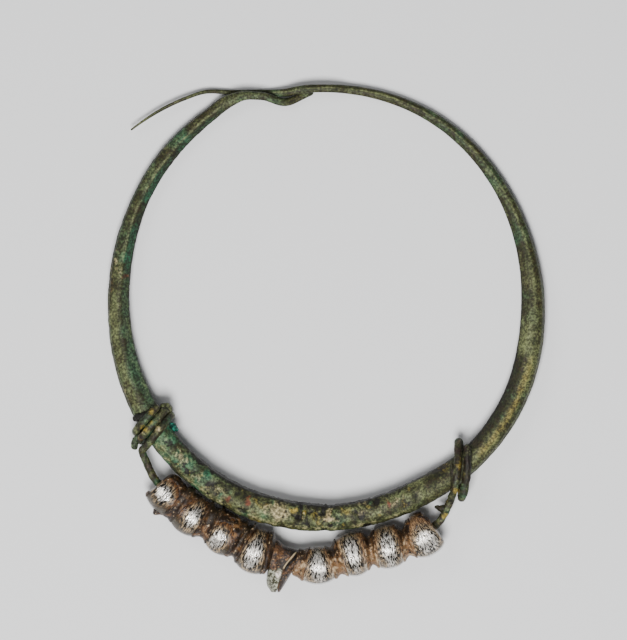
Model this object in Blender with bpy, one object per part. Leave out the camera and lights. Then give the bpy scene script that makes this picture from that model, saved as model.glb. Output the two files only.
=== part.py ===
"""Bronze hoop earring with a row of foil-glass beads, lying on its back.

The hoop is one tapered bar. Its two thin ends cross at the top and lap round each
other as the clasp, and the longer end runs on as a fine tail. One wire is wound round
the hoop low on the left, carries nine beads along the hoop's lower edge and is wound
round the hoop again on the right.

Angles are in degrees round the hoop's centre, counter-clockwise from +X, seen from
above. The hoop's top is at 90. The part rests on the undersides of the two windings,
the clasp and the largest bead, each worn to a small flat at height zero.
"""

import bpy
import numpy as np

MM = 0.001

# Hoop bar: middle of the bar at the sides, and its full thickness low down
HOOP_RADIUS = 27.2 * MM
HOOP_THICKNESS = 3.8 * MM
HOOP_FLATNESS = 0.92
HOOP_SQUARENESS = 2.2
HOOP_SIDES = 12

# Angle, radius as a share of HOOP_RADIUS, thickness as a share of HOOP_THICKNESS,
# from the broken end of the left limb, down round the bottom and up to the tail's tip
HOOP_STATIONS = (
    (-256, 1.050, 0.29),
    (-249, 1.089, 0.33),
    (-245, 1.095, 0.44),
    (-238, 1.079, 0.50),
    (-225, 1.058, 0.59),
    (-210, 1.032, 0.61),
    (-195, 1.010, 0.71),
    (-180, 0.999, 0.78),
    (-150, 1.001, 0.94),
    (-120, 1.011, 0.97),
    (-105, 1.011, 1.02),
    (-90, 1.007, 0.95),
    (-60, 0.995, 0.97),
    (-45, 1.002, 0.86),
    (-30, 1.001, 0.86),
    (0, 0.988, 0.84),
    (15, 0.993, 0.67),
    (30, 1.006, 0.53),
    (60, 1.041, 0.41),
    (90, 1.050, 0.30),
    (97, 1.051, 0.30),
    (101, 1.049, 0.29),
    (108, 1.083, 0.24),
    (114, 1.129, 0.19),
    (119.5, 1.187, 0.15),
    (124, 1.210, 0.14),
    (130, 1.237, 0.13),
    (137.9, 1.268, 0.08),
)

# Clasp: the left limb's end lies against the right limb's, and this angle says on
# which side of it: 0 towards the hoop's centre, 90 in front, -90 behind
CLASP_CLEARANCE = 0.15 * MM
CLASP_END_ANGLE = 93.5
CLASP_LIFT_ANGLE = 121.5
CLASP_START_ANGLE = 114
CLASP_JOIN = 7
CLASP_TURN = (
    (84, 0),
    (93, -80),
    (97.5, -45),
    (101.5, 0),
    (106, 60),
    (110, 64),
    (114, 57),
    (118, 35),
    (124, 0),
)

# Bead wire
WIRE_DIAMETER = 1.05 * MM
WIRE_SIDES = 10
WRAP_CLEARANCE = 0.15 * MM

# How far each stem stands off its winding as it leaves for the beads
STEM_STAND_OFF = 0.85 * MM

# Left winding: three close turns
LEFT_TURNS = 3
LEFT_PITCH = 1.18 * MM
LEFT_LEAN = 0.2
LEFT_STEM = 8.75 * MM
LEFT_LEAD = 0.1 * MM
LEFT_OUTER_SLACK = 0.15 * MM

# Right winding: two open turns that lean more, the outer loop standing off
RIGHT_TURNS = 2
RIGHT_PITCH = 1.67 * MM
RIGHT_LEAN = -0.85
RIGHT_STEM = 9.8 * MM
RIGHT_LEAD = 0.9 * MM
RIGHT_INNER_SLACK = 0.35 * MM
RIGHT_OUTER_SLACK = 1.0 * MM
SLACK_SPREAD = 60

# Beads from left to right: diameter, distance to the next bead's middle along the
# wire, and how far the bead stands off the hoop's edge
BEAD_ROW = (
    (5.3 * MM, 4.05 * MM, 0.2 * MM),
    (5.6 * MM, 5.1 * MM, 0.25 * MM),
    (5.75 * MM, 4.5 * MM, 0.2 * MM),
    (6.25 * MM, 3.7 * MM, 0.55 * MM),
    (6.0 * MM, 4.6 * MM, 0.85 * MM),
    (5.1 * MM, 4.75 * MM, 1.9 * MM),
    (6.1 * MM, 4.6 * MM, 0.2 * MM),
    (6.0 * MM, 4.85 * MM, 0.2 * MM),
    (6.1 * MM, 5.1 * MM, 0.2 * MM),
)
ROW_START_ANGLE = -130.5
BROKEN_BEAD = 5
BEAD_BULGE_LENGTH = 4.0 * MM
BEAD_WAIST_DIAMETER = 3.3 * MM
BEAD_GAP = 0.3 * MM
BEAD_RIM_ROUNDING = 0.3 * MM
ROW_END_ROUNDING = 0.5 * MM
LEFT_END_SLOPE = 0.15
RIGHT_END_SLOPE = 0.22
BORE_CLEARANCE = 0.2 * MM
BEAD_SIDES = 16

# Shard still hanging from the broken bead: how far it reaches from the wire, how long
# it is along the wire and where its middle is
SHARD_REACH = 4.75 * MM
SHARD_LENGTH = 3.4 * MM
SHARD_SET_BACK = 0.15 * MM
SHARD_NARROWNESS = 3.0
# Shoulder left on the same bead's left end: its height over the core, and its slope
SHOULDER_RISE = 0.55 * MM
SHOULDER_LENGTH = 1.2 * MM

# Depth of the small worn flats that the part rests on
WORN_FLAT = 0.16 * MM

SMOOTH_ANGLE = np.radians(40)


def smooth_through(x, knots, values):
    """Cubic curve through the knots, its slopes taken from each knot's neighbours."""
    knots = np.asarray(knots, dtype=float)
    values = np.asarray(values, dtype=float)
    slopes = np.gradient(values, knots)
    x = np.clip(x, knots[0], knots[-1])
    low = np.clip(np.searchsorted(knots, x) - 1, 0, len(knots) - 2)
    span = knots[low + 1] - knots[low]
    t = (x - knots[low]) / span
    rise = values[low + 1] - values[low]
    first = slopes[low] * span - rise
    last = rise - slopes[low + 1] * span
    return values[low] + t * rise + t * (1 - t) * (first * (1 - t) + last * t)


def smooth_step(x):
    """Ease from 0 to 1 as x goes from 0 to 1."""
    x = np.clip(x, 0, 1)
    return x * x * (3 - 2 * x)


def polar(angles, radii, heights):
    """Points from angles in degrees, radii and heights."""
    turned = np.radians(angles)
    return np.stack([radii * np.cos(turned), radii * np.sin(turned), heights], axis=-1)


def outward_at(angles):
    """Level directions away from the hoop's centre."""
    return polar(angles, np.ones_like(angles), np.zeros_like(angles))


def unit(vectors):
    """The vectors brought to length one."""
    return vectors / np.linalg.norm(vectors, axis=-1, keepdims=True)


def bar_radius(angles):
    """Radius of the bar's middle line."""
    knots, radii, _ = np.transpose(HOOP_STATIONS)
    return HOOP_RADIUS * smooth_through(angles, knots, radii)


def bar_thickness(angles):
    """Thickness of the bar in the hoop's plane."""
    knots, _, thicknesses = np.transpose(HOOP_STATIONS)
    return HOOP_THICKNESS * smooth_through(angles, knots, thicknesses)


def clasp_offset(angles):
    """Where the left limb's end lies from the right limb's: inwards and in front."""
    turn = np.radians(smooth_through(angles, *np.transpose(CLASP_TURN)))
    touching = (bar_thickness(angles) + bar_thickness(angles - 360)) / 2
    apart = touching + CLASP_CLEARANCE
    return apart * np.cos(turn), apart * np.sin(turn)


def winding_height(angle):
    """Height of the bar's middle over a winding that rests on the table."""
    half_height = HOOP_FLATNESS * bar_thickness(angle) / 2
    return half_height + WRAP_CLEARANCE + WIRE_DIAMETER - WORN_FLAT


def clasp_height():
    """Height of the hoop's plane at the clasp, resting on the end that lies behind."""
    _, in_front = clasp_offset(CLASP_END_ANGLE)
    half_height = HOOP_FLATNESS * bar_thickness(CLASP_END_ANGLE - 360) / 2
    return half_height - in_front / 2 - WORN_FLAT


def bead_angles_and_radii():
    """Each bead's middle: the next one lies its own distance further along the row."""
    angles = [ROW_START_ANGLE]
    for _, pitch, _ in BEAD_ROW[:-1]:
        angles.append(angles[-1] + np.degrees(pitch / row_radius(angles[-1], len(angles) - 1)))
    radii = [row_radius(angle, index) for index, angle in enumerate(angles)]
    return np.array(angles), np.array(radii)


def row_radius(angle, index):
    """Radius at which a bead clears the hoop's outer edge by its own distance."""
    diameter, _, stand_off = BEAD_ROW[index]
    return bar_radius(angle) + bar_thickness(angle) / 2 + stand_off + diameter / 2


BEAD_ANGLES, BEAD_RADII = bead_angles_and_radii()
STRING_HEIGHT = (max(diameter for diameter, _, _ in BEAD_ROW) / 2
                 * np.cos(np.pi / BEAD_SIDES) - WORN_FLAT)
LEFT_WRAP_ANGLE = BEAD_ANGLES[0] - np.degrees(LEFT_STEM / BEAD_RADII[0])
RIGHT_WRAP_ANGLE = BEAD_ANGLES[-1] + np.degrees(RIGHT_STEM / BEAD_RADII[-1])


def resting_plane():
    """Slope of the hoop's plane, lying on its two windings and its clasp."""
    angles = np.array([LEFT_WRAP_ANGLE, RIGHT_WRAP_ANGLE, CLASP_END_ANGLE])
    left = winding_height(LEFT_WRAP_ANGLE)
    right = winding_height(RIGHT_WRAP_ANGLE)
    heights = np.array([left, right, clasp_height()])
    places = polar(angles, bar_radius(angles), np.ones(3))
    return np.linalg.solve(places, heights)


PLANE = resting_plane()


def plane_height(angles, radii):
    """Height of the hoop's plane at a place."""
    return polar(angles, radii, np.ones_like(radii)) @ PLANE


def winding_reach(centre):
    """How far the wire's middle lies from the bar's middle in a winding."""
    return bar_thickness(centre) / 2 + WRAP_CLEARANCE + WIRE_DIAMETER / 2


def leaving_place(centre, along, lean):
    """Angle and radius at which a stem is clear of the outer side of its winding."""
    reach = winding_reach(centre)
    angle = centre + np.degrees((along + lean * reach) / HOOP_RADIUS)
    return angle, bar_radius(angle) + reach + STEM_STAND_OFF


LEFT_LEAVING = leaving_place(
    LEFT_WRAP_ANGLE, LEFT_PITCH * (LEFT_TURNS / 2 - 0.25) + LEFT_LEAD, LEFT_LEAN)
RIGHT_LEAVING = leaving_place(
    RIGHT_WRAP_ANGLE, RIGHT_PITCH * (0.25 - RIGHT_TURNS / 2) - RIGHT_LEAD, RIGHT_LEAN)


def string_knots():
    """Places the string passes: it runs on straight out of the two end beads."""
    run = BEAD_BULGE_LENGTH / 2 * np.array([1.0, 1.2])
    first = BEAD_ANGLES[0] - np.degrees(run / BEAD_RADII[0])
    last = BEAD_ANGLES[-1] + np.degrees(run / BEAD_RADII[-1])
    angles = [LEFT_LEAVING[0], *first[::-1], *BEAD_ANGLES, *last, RIGHT_LEAVING[0]]
    first = BEAD_RADII[0] - LEFT_END_SLOPE * run
    last = BEAD_RADII[-1] - RIGHT_END_SLOPE * run
    radii = [LEFT_LEAVING[1], *first[::-1], *BEAD_RADII, *last, RIGHT_LEAVING[1]]
    return np.array(angles), np.array(radii)


STRING_ANGLES, STRING_RADII = string_knots()


def string_point(angles):
    """Wire's middle line from one stem through the beads to the other."""
    radii = smooth_through(angles, STRING_ANGLES, STRING_RADII)
    return polar(angles, radii, np.full_like(radii, STRING_HEIGHT))


def squared(values, squareness):
    """Push a circle's sine or cosine out towards a rounded square."""
    return np.sign(values) * np.abs(values) ** (2 / squareness)


def frames_along(route, outward):
    """Across and up directions square to the route."""
    along = unit(np.gradient(route, axis=0))
    across = unit(outward - along * np.sum(outward * along, axis=1, keepdims=True))
    return across, np.cross(along, across)


def ring_faces(rings, sides, closed):
    """Quads between neighbouring rings, and between the last and first if closed."""
    ring = np.arange(rings if closed else rings - 1)[:, None]
    side = np.arange(sides)[None, :]
    next_ring = (ring + 1) % rings * sides
    next_side = (side + 1) % sides
    corners = (ring * sides + side, ring * sides + next_side,
               next_ring + next_side, next_ring + side)
    return np.stack(np.broadcast_arrays(*corners), axis=-1).reshape(-1, 4).tolist()


def sweep(route, outward, half_widths, half_heights, sides, squareness):
    """Carry a rounded section along a route and close both ends."""
    across, up = frames_along(route, outward)
    turned = (np.arange(sides) + 0.5) * 2 * np.pi / sides
    wide = half_widths[:, None, None] * squared(np.cos(turned), squareness)[:, None]
    high = half_heights[:, None, None] * squared(np.sin(turned), squareness)[:, None]
    points = route[:, None, :] + wide * across[:, None, :] + high * up[:, None, :]
    faces = ring_faces(len(route), sides, closed=False)
    faces.append(list(range(sides))[::-1])
    last = (len(route) - 1) * sides
    faces.append(list(range(last, last + sides)))
    return points.reshape(-1, 3), faces


def make_material(name, colour, roughness, metallic):
    """Plain finish for a piece."""
    material = bpy.data.materials.new(name)
    material.use_nodes = True
    shader = material.node_tree.nodes["Principled BSDF"]
    shader.inputs["Base Color"].default_value = (*colour, 1)
    shader.inputs["Roughness"].default_value = roughness
    shader.inputs["Metallic"].default_value = metallic
    return material


def make_object(name, points, faces, material):
    """Mesh object, its lowest places worn flat at the table's height."""
    worn = points.copy()
    worn[:, 2] = np.maximum(worn[:, 2], 0)
    mesh = bpy.data.meshes.new(name)
    mesh.from_pydata(worn.tolist(), [], faces)
    mesh.materials.append(material)
    mesh.shade_smooth()
    mesh.set_sharp_from_angle(angle=SMOOTH_ANGLE)
    piece = bpy.data.objects.new(name, mesh)
    bpy.context.collection.objects.link(piece)
    return piece


def hoop_route():
    """Middle line of the bar, from the tail's tip round to the left limb's end."""
    tail = np.linspace(HOOP_STATIONS[-1][0], 84, 34)
    ring = np.linspace(84, -234, 74)[1:]
    lap_end = CLASP_END_ANGLE - 360
    end = np.linspace(-234, lap_end, 20)[1:]
    angles = np.concatenate([tail, ring, end])
    radii = bar_radius(angles)
    lifts = np.zeros_like(angles)
    _, tail_front = clasp_offset(angles)
    lifts -= np.where(angles > 0, tail_front / 2, 0)
    other = angles + 360
    inwards, in_front = clasp_offset(other)
    lapped = smooth_step((CLASP_START_ANGLE - other) / CLASP_JOIN)
    lifted = smooth_step((CLASP_LIFT_ANGLE - other) / CLASP_JOIN)
    radii = radii + np.where(angles < 0, lapped, 0) * (bar_radius(other) - inwards - radii)
    lifts = lifts + np.where(angles < 0, lifted, 0) * in_front / 2
    return angles, polar(angles, radii, plane_height(angles, radii) + lifts)


def make_hoop(material):
    """Tapered bar with its ends lapped at the top."""
    angles, route = hoop_route()
    half = bar_thickness(angles) / 2
    points, faces = sweep(route, outward_at(angles), half, half * HOOP_FLATNESS,
                          HOOP_SIDES, HOOP_SQUARENESS)
    return make_object("hoop", points, faces, material)


def winding(centre, turn_angles, along, lean, slack, side):
    """Points of a winding round the bar.

    A turn angle of 0 is the hoop's outer side and 180 its inner side. The height is
    side times the turn's sine, so side says whether the wire goes over or under first.
    """
    turned = np.radians(turn_angles)
    reach = winding_reach(centre)
    rise = reach - (1 - HOOP_FLATNESS) * bar_thickness(centre) / 2
    out = (reach + slack) * squared(np.cos(turned), HOOP_SQUARENESS)
    up = side * rise * squared(np.sin(turned), HOOP_SQUARENESS)
    angles = centre + np.degrees((along + lean * out) / HOOP_RADIUS)
    radii = bar_radius(angles)
    middle = polar(angles, radii, plane_height(angles, radii))
    level = outward_at(angles)
    straight_up = np.array([0, 0, 1])
    points = middle + out[:, None] * level + up[:, None] * straight_up
    return points, unit(out[:, None] * level + up[:, None] * straight_up)


def left_winding():
    """Turns from the wire's tucked end up to where it leaves for the beads."""
    turns = np.arange(225, 360 * LEFT_TURNS - 44, 22.5)
    along = LEFT_PITCH * ((turns - 270) / 360 - (LEFT_TURNS - 1) / 2)
    slack = LEFT_OUTER_SLACK * np.exp(-((turns - 720) / SLACK_SPREAD) ** 2)
    return winding(LEFT_WRAP_ANGLE, turns, along, LEFT_LEAN, slack, -1)


def right_winding():
    """Turns from where the wire comes from the beads to its tucked end."""
    turns = np.arange(45, 360 * RIGHT_TURNS - 224, 22.5)
    along = RIGHT_PITCH * ((turns - 90) / 360 - (RIGHT_TURNS - 1) / 2)
    inner = np.exp(-((turns - 180) / SLACK_SPREAD) ** 2)
    outer = np.exp(-((turns - 360) / SLACK_SPREAD) ** 2)
    slack = RIGHT_INNER_SLACK * inner + RIGHT_OUTER_SLACK * outer
    return winding(RIGHT_WRAP_ANGLE, turns, along, RIGHT_LEAN, slack, 1)


def wire_route():
    """Whole wire: left winding, stem, string, stem and right winding."""
    left, left_out = left_winding()
    right, right_out = right_winding()
    string_angles = np.linspace(LEFT_LEAVING[0], RIGHT_LEAVING[0], 44)
    string = string_point(string_angles)
    string_out = outward_at(string_angles)
    points = np.concatenate([left, string, right])
    outward = np.concatenate([left_out, string_out, right_out])
    steps = np.linalg.norm(np.diff(points, axis=0), axis=1)
    travel = np.concatenate([[0], np.cumsum(steps)])
    wanted = [travel]
    for start in (len(left) - 1, len(left) + len(string) - 1):
        wanted.append(np.linspace(travel[start], travel[start + 1], 5)[1:-1])
    wanted = np.sort(np.concatenate(wanted))
    route = np.stack([smooth_through(wanted, travel, points[:, k]) for k in range(3)], axis=1)
    hints = np.stack([np.interp(wanted, travel, outward[:, k]) for k in range(3)], axis=1)
    return route, unit(hints)


def make_wire(material):
    """One wire, wound on at both ends, with the beads on it."""
    route, outward = wire_route()
    half = np.full(len(route), WIRE_DIAMETER / 2)
    points, faces = sweep(route, outward, half, half, WIRE_SIDES, 2)
    return make_object("bead_wire", points, faces, material)


def bead_span(index):
    """Angles of a bead's two ends, halfway to its neighbours less half a gap."""
    pitches = [pitch for _, pitch, _ in BEAD_ROW]
    end_length = BEAD_BULGE_LENGTH
    before = pitches[index - 1] if index else end_length
    after = pitches[index] if index < len(BEAD_ROW) - 1 else end_length
    lengths = np.array([-(before - BEAD_GAP) / 2, (after - BEAD_GAP) / 2])
    return BEAD_ANGLES[index] + np.degrees(lengths / BEAD_RADII[index])


def bulge(distances, radius):
    """Bead's outside radius: a round bulge that drops to the waist at both ends."""
    waist = BEAD_WAIST_DIAMETER / 2
    share = np.clip(1 - (2 * distances / BEAD_BULGE_LENGTH) ** 2, 0, 1)
    return waist + (radius - waist) * np.sqrt(share)


def rounded_ends(distances, index):
    """Share of the wall's thickness left near the bead's two rims."""
    before = BEAD_RIM_ROUNDING if index else ROW_END_ROUNDING
    after = BEAD_RIM_ROUNDING if index < len(BEAD_ROW) - 1 else ROW_END_ROUNDING
    start = np.clip((distances - distances[0]) / before, 0, 1)
    end = np.clip((distances[-1] - distances) / after, 0, 1)
    return 0.4 + 0.6 * np.sqrt(1 - (1 - start) ** 2) * np.sqrt(1 - (1 - end) ** 2)


def broken_outside(distances, turned):
    """Outside of the broken bead: core, the shoulder left on it, and the shard."""
    shoulder = SHOULDER_RISE * smooth_step(-distances / SHOULDER_LENGTH)
    core = BEAD_WAIST_DIAMETER / 2 + shoulder[:, None]
    share = np.clip(1 - (2 * (distances + SHARD_SET_BACK) / SHARD_LENGTH) ** 2, 0, 1)
    facing = np.clip(np.cos(turned), 0, 1) ** SHARD_NARROWNESS
    return core + (SHARD_REACH - core) * np.sqrt(share)[:, None] * facing[None, :]


def make_bead(index, material):
    """A bead's outside and its bore, both following the wire."""
    diameter = BEAD_ROW[index][0]
    start, end = bead_span(index)
    spread = (1 + np.sin(np.linspace(-np.pi / 2, np.pi / 2, 12))) / 2
    outer_angles = start + (end - start) * spread
    bore_angles = np.linspace(end, start, 4)
    angles = np.concatenate([outer_angles, bore_angles])
    turned = (np.arange(BEAD_SIDES) + 0.5) * 2 * np.pi / BEAD_SIDES
    distances = np.radians(outer_angles - BEAD_ANGLES[index]) * BEAD_RADII[index]
    if index + 1 == BROKEN_BEAD:
        outside = broken_outside(distances, turned)
    else:
        outside = np.repeat(bulge(distances, diameter / 2)[:, None], BEAD_SIDES, axis=1)
    bore_radius = WIRE_DIAMETER / 2 + BORE_CLEARANCE
    outside = bore_radius + (outside - bore_radius) * rounded_ends(distances, index)[:, None]
    bore = np.full((len(bore_angles), BEAD_SIDES), bore_radius)
    radii = np.concatenate([outside, bore])[:, :, None]
    middle = string_point(angles)
    nearby = string_point(angles + 0.1) - string_point(angles - 0.1)
    along = unit(nearby)
    level = outward_at(angles)
    across = unit(level - along * np.sum(level * along, axis=1, keepdims=True))
    up = np.cross(along, across)
    ring = (np.cos(turned)[None, :, None] * across[:, None, :]
            + np.sin(turned)[None, :, None] * up[:, None, :])
    points = middle[:, None, :] + radii * ring
    faces = ring_faces(len(angles), BEAD_SIDES, closed=True)
    return make_object(f"bead_{index + 1}", points.reshape(-1, 3), faces, material)


def centre_on_footprint(pieces):
    """Move the origin to the middle of the footprint, at the table's height."""
    corners = [np.array([v.co for v in piece.data.vertices]) for piece in pieces]
    points = np.concatenate(corners)
    middle = (points.min(axis=0) + points.max(axis=0)) / 2
    base = bpy.data.objects.new("resting_place", None)
    bpy.context.collection.objects.link(base)
    base.location = (-middle[0], -middle[1], 0)
    for piece in pieces:
        piece.parent = base


def main():
    """Build the earring from an empty scene."""
    for old in list(bpy.data.objects):
        bpy.data.objects.remove(old, do_unlink=True)
    bronze = make_material("bronze_patina", (0.09, 0.10, 0.05), 0.7, 0.4)
    wire = make_material("wire_patina", (0.10, 0.08, 0.05), 0.7, 0.4)
    glass = make_material("foil_glass", (0.72, 0.66, 0.56), 0.3, 0.7)
    pieces = [make_hoop(bronze), make_wire(wire)]
    for index in range(len(BEAD_ROW)):
        pieces.append(make_bead(index, glass))
    centre_on_footprint(pieces)


main()
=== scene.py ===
"""Looks of a corroded bronze hoop earring with foil-glass beads, lying on a pale floor.

Lengths are in metres and angles in degrees round the hoop's centre, counter-clockwise
from +X seen from above. Round a bar or a bead, 0 faces outwards and 90 faces up.
"""

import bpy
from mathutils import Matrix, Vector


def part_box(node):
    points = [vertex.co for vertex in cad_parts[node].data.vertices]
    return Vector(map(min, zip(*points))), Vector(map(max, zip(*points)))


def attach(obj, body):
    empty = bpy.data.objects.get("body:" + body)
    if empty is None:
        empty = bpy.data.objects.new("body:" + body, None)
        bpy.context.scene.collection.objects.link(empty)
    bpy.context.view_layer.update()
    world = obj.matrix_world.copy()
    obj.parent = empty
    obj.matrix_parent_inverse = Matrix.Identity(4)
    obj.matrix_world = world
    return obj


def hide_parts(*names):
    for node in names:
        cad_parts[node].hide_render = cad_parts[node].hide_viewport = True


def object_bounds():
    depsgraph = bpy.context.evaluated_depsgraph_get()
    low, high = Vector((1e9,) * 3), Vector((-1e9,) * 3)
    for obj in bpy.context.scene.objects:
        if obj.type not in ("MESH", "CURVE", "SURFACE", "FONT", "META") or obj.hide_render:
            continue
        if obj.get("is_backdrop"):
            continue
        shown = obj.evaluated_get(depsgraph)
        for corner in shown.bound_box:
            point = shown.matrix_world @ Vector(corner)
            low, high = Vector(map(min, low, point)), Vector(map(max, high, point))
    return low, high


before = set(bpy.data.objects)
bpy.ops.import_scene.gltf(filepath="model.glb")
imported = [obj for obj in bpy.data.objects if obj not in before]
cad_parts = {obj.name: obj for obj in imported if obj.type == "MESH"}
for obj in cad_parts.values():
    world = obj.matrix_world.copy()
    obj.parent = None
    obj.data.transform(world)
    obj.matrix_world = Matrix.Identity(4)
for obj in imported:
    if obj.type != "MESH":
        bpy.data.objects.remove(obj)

from types import SimpleNamespace

import bpy
import numpy as np
from mathutils import Vector

MM = 0.001
LOWEST, HIGHEST = (np.array(corner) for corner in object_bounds())

# Hoop
HOOP_RADIUS = 27.2 * MM
HOOP_THICKNESS = 3.8 * MM
HOOP_FLATNESS = 0.92
HOOP_SQUARENESS = 2.2
# Angle, radius as a share of HOOP_RADIUS, thickness as a share of HOOP_THICKNESS
HOOP_STATIONS = (
    (-256, 1.050, 0.29),
    (-249, 1.089, 0.33),
    (-245, 1.095, 0.44),
    (-238, 1.079, 0.50),
    (-225, 1.058, 0.59),
    (-210, 1.032, 0.61),
    (-195, 1.010, 0.71),
    (-180, 0.999, 0.78),
    (-150, 1.001, 0.94),
    (-120, 1.011, 0.97),
    (-105, 1.011, 1.02),
    (-90, 1.007, 0.95),
    (-60, 0.995, 0.97),
    (-45, 1.002, 0.86),
    (-30, 1.001, 0.86),
    (0, 0.988, 0.84),
    (15, 0.993, 0.67),
    (30, 1.006, 0.53),
    (60, 1.041, 0.41),
    (90, 1.050, 0.30),
    (97, 1.051, 0.30),
    (101, 1.049, 0.29),
    (108, 1.083, 0.24),
    (114, 1.129, 0.19),
    (119.5, 1.187, 0.15),
    (124, 1.210, 0.14),
    (130, 1.237, 0.13),
    (137.9, 1.268, 0.08),
)
CLASP_CLEARANCE = 0.15 * MM
CLASP_END_ANGLE = 93.5
CLASP_LIFT_ANGLE = 121.5
CLASP_START_ANGLE = 114
CLASP_JOIN = 7
CLASP_TURN = (
    (84, 0),
    (93, -80),
    (97.5, -45),
    (101.5, 0),
    (106, 60),
    (110, 64),
    (114, 57),
    (118, 35),
    (124, 0),
)

# Wire
WIRE_DIAMETER = 1.05 * MM
WRAP_CLEARANCE = 0.15 * MM
STEM_STAND_OFF = 0.85 * MM
LEFT_TURNS = 3
LEFT_PITCH = 1.18 * MM
LEFT_LEAN = 0.2
LEFT_STEM = 8.75 * MM
LEFT_LEAD = 0.1 * MM
LEFT_OUTER_SLACK = 0.15 * MM
RIGHT_TURNS = 2
RIGHT_PITCH = 1.67 * MM
RIGHT_LEAN = -0.85
RIGHT_STEM = 9.8 * MM
RIGHT_LEAD = 0.9 * MM
RIGHT_INNER_SLACK = 0.35 * MM
RIGHT_OUTER_SLACK = 1.0 * MM
SLACK_SPREAD = 60

# Beads: diameter, distance to the next, stand-off from the hoop's edge
BEAD_ROW = (
    (5.3 * MM, 4.05 * MM, 0.2 * MM),
    (5.6 * MM, 5.1 * MM, 0.25 * MM),
    (5.75 * MM, 4.5 * MM, 0.2 * MM),
    (6.25 * MM, 3.7 * MM, 0.55 * MM),
    (6.0 * MM, 4.6 * MM, 0.85 * MM),
    (5.1 * MM, 4.75 * MM, 1.9 * MM),
    (6.1 * MM, 4.6 * MM, 0.2 * MM),
    (6.0 * MM, 4.85 * MM, 0.2 * MM),
    (6.1 * MM, 5.1 * MM, 0.2 * MM),
)
ROW_START_ANGLE = -130.5
BROKEN_BEAD = 5
BEAD_BULGE_LENGTH = 4.0 * MM
BEAD_WAIST_DIAMETER = 3.3 * MM
BEAD_GAP = 0.3 * MM
BEAD_SIDES = 16
LEFT_END_SLOPE = 0.15
RIGHT_END_SLOPE = 0.22
SHARD_REACH = 4.75 * MM
SHARD_LENGTH = 3.4 * MM
SHARD_SET_BACK = 0.15 * MM
SHARD_NARROWNESS = 3.0
SHOULDER_RISE = 0.55 * MM
SHOULDER_LENGTH = 1.2 * MM
WORN_FLAT = 0.16 * MM

# Corrosion colours of the bronze, and the marks that show them; the pale, cream, gold and dark marks also
# carry painted highlights and painted shade
PATINA = {
    "Base": (0.026, 0.030, 0.008),
    "Brown": (0.028, 0.020, 0.006),
    "Pale": (0.180, 0.202, 0.082),
    "Green": (0.020, 0.115, 0.058),
    "Gold": (0.330, 0.245, 0.040),
    "Rust": (0.120, 0.032, 0.012),
    "Cream": (0.440, 0.360, 0.180),
    "Dark": (0.006, 0.005, 0.003),
}
MARKS = ("pale", "green", "gold", "rust", "cream", "dark")
# The colours from the bottom up: where each mark starts and is full, how far grain stirs it
PATINA_LAYERS = (
    ("Green", 0.15, 1.10, 0.40),
    ("Pale", 0.10, 1.15, 0.50),
    ("Gold", 0.15, 1.10, 0.35),
    ("Cream", 0.25, 1.10, 0.60),
    ("Rust", 0.30, 1.00, 0.50),
    ("Dark", 0.20, 1.00, -0.55),
)

# Bare silver on each bead: its middle along and outwards, half its width and length, in mm
SILVER_ZONES = (
    (-0.40, 0.25, 1.20, 1.20),
    (0.40, 0.00, 0.95, 1.75),
    (-0.50, 1.00, 1.05, 1.45),
    (-0.15, 0.20, 1.10, 2.40),
    (0.00, 0.00, 0.10, 0.10),
    (0.00, 0.10, 1.10, 2.40),
    (-0.10, 0.20, 0.98, 2.80),
    (0.00, 0.25, 1.10, 2.60),
    (0.00, 1.00, 1.40, 1.90),
)

# Loose ends and lumps of corrosion: name, places in mm from the hoop's centre, radii in
# mm, roughness, and how strong each corrosion colour is
STRANDS = (
    ("left_wire_end", ((-24.2, -16.6, 3.3), (-24.9, -17.3, 3.1), (-25.1, -18.6, 2.9)), (0.40, 0.50, 0.46),
     0.25, {"dark": 0.50, "pale": 0.35, "green": 0.5}),
    ("left_knob", ((-20.4, -13.7, 2.9), (-21.0, -13.2, 3.4), (-21.7, -13.2, 3.8)), (0.60, 0.70, 0.55),
     0.30, {"dark": 0.45, "pale": 0.6, "green": 0.3}),
    ("left_stain", ((-25.2, -14.6, 3.4), (-24.3, -14.3, 4.1), (-23.3, -13.9, 4.5)), (0.46, 0.50, 0.36),
     0.35, {"dark": 1.1, "pale": 0.1, "rust": 0.3}),
    ("right_spur", ((15.4, -26.3, 2.9), (14.7, -26.2, 2.9), (14.0, -26.0, 2.8)), (0.50, 0.42, 0.22),
     0.35, {"dark": 0.55, "rust": 0.35}),
    ("right_strand", ((16.2, -20.2, 4.35), (16.4, -23.2, 4.15), (16.3, -24.8, 3.3), (15.7, -25.9, 3.0),
                      (15.2, -26.8, 2.95)), (0.22, 0.30, 0.30, 0.34, 0.30),
     0.25, {"dark": 0.55, "rust": 0.25, "gold": 0.2}),
)
CRYSTAL = (((-20.5, -15.2, 3.0), (-20.0, -15.7, 3.2), (-19.4, -16.1, 3.0)), (0.36, 0.55, 0.26))

# Glass and foil of each whole bead, as shares of its solid, and how uneven they are
GLASS_UNEVENNESS = 0.03 * MM
FOIL_UNEVENNESS = 0.05 * MM
GLASS_SHARE = 0.985
GLASS_WAIST_SHARE = 0.97
LEFT_FOIL_SHARE = 0.95
RIGHT_FOIL_SHARE = 0.915
FOIL_WAIST_SHARE = 0.92

# Crust: a small lug on the first bead's outer side, how deep the skin reaches into the
# glass, and over how many rings it is evened out
LUG_ANGLE = -129.4
LUG_REACH = 0.5 * MM
SKIN_DEPTH = 0.12 * MM
LEVEL_WINDOW = 15

# Floor and camera: the view's middle lies beside the hoop's centre, and its width is
# measured at the height of the earring's middle
FLOOR_REACH = 3.0
CAMERA_HEIGHT = 0.9
VIEW_OFFSET = (-1.76 * MM, -1.69 * MM)
VIEW_WIDTH = 83.4 * MM
MIDDLE_HEIGHT = 3 * MM
SENSOR_WIDTH = 36

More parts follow.
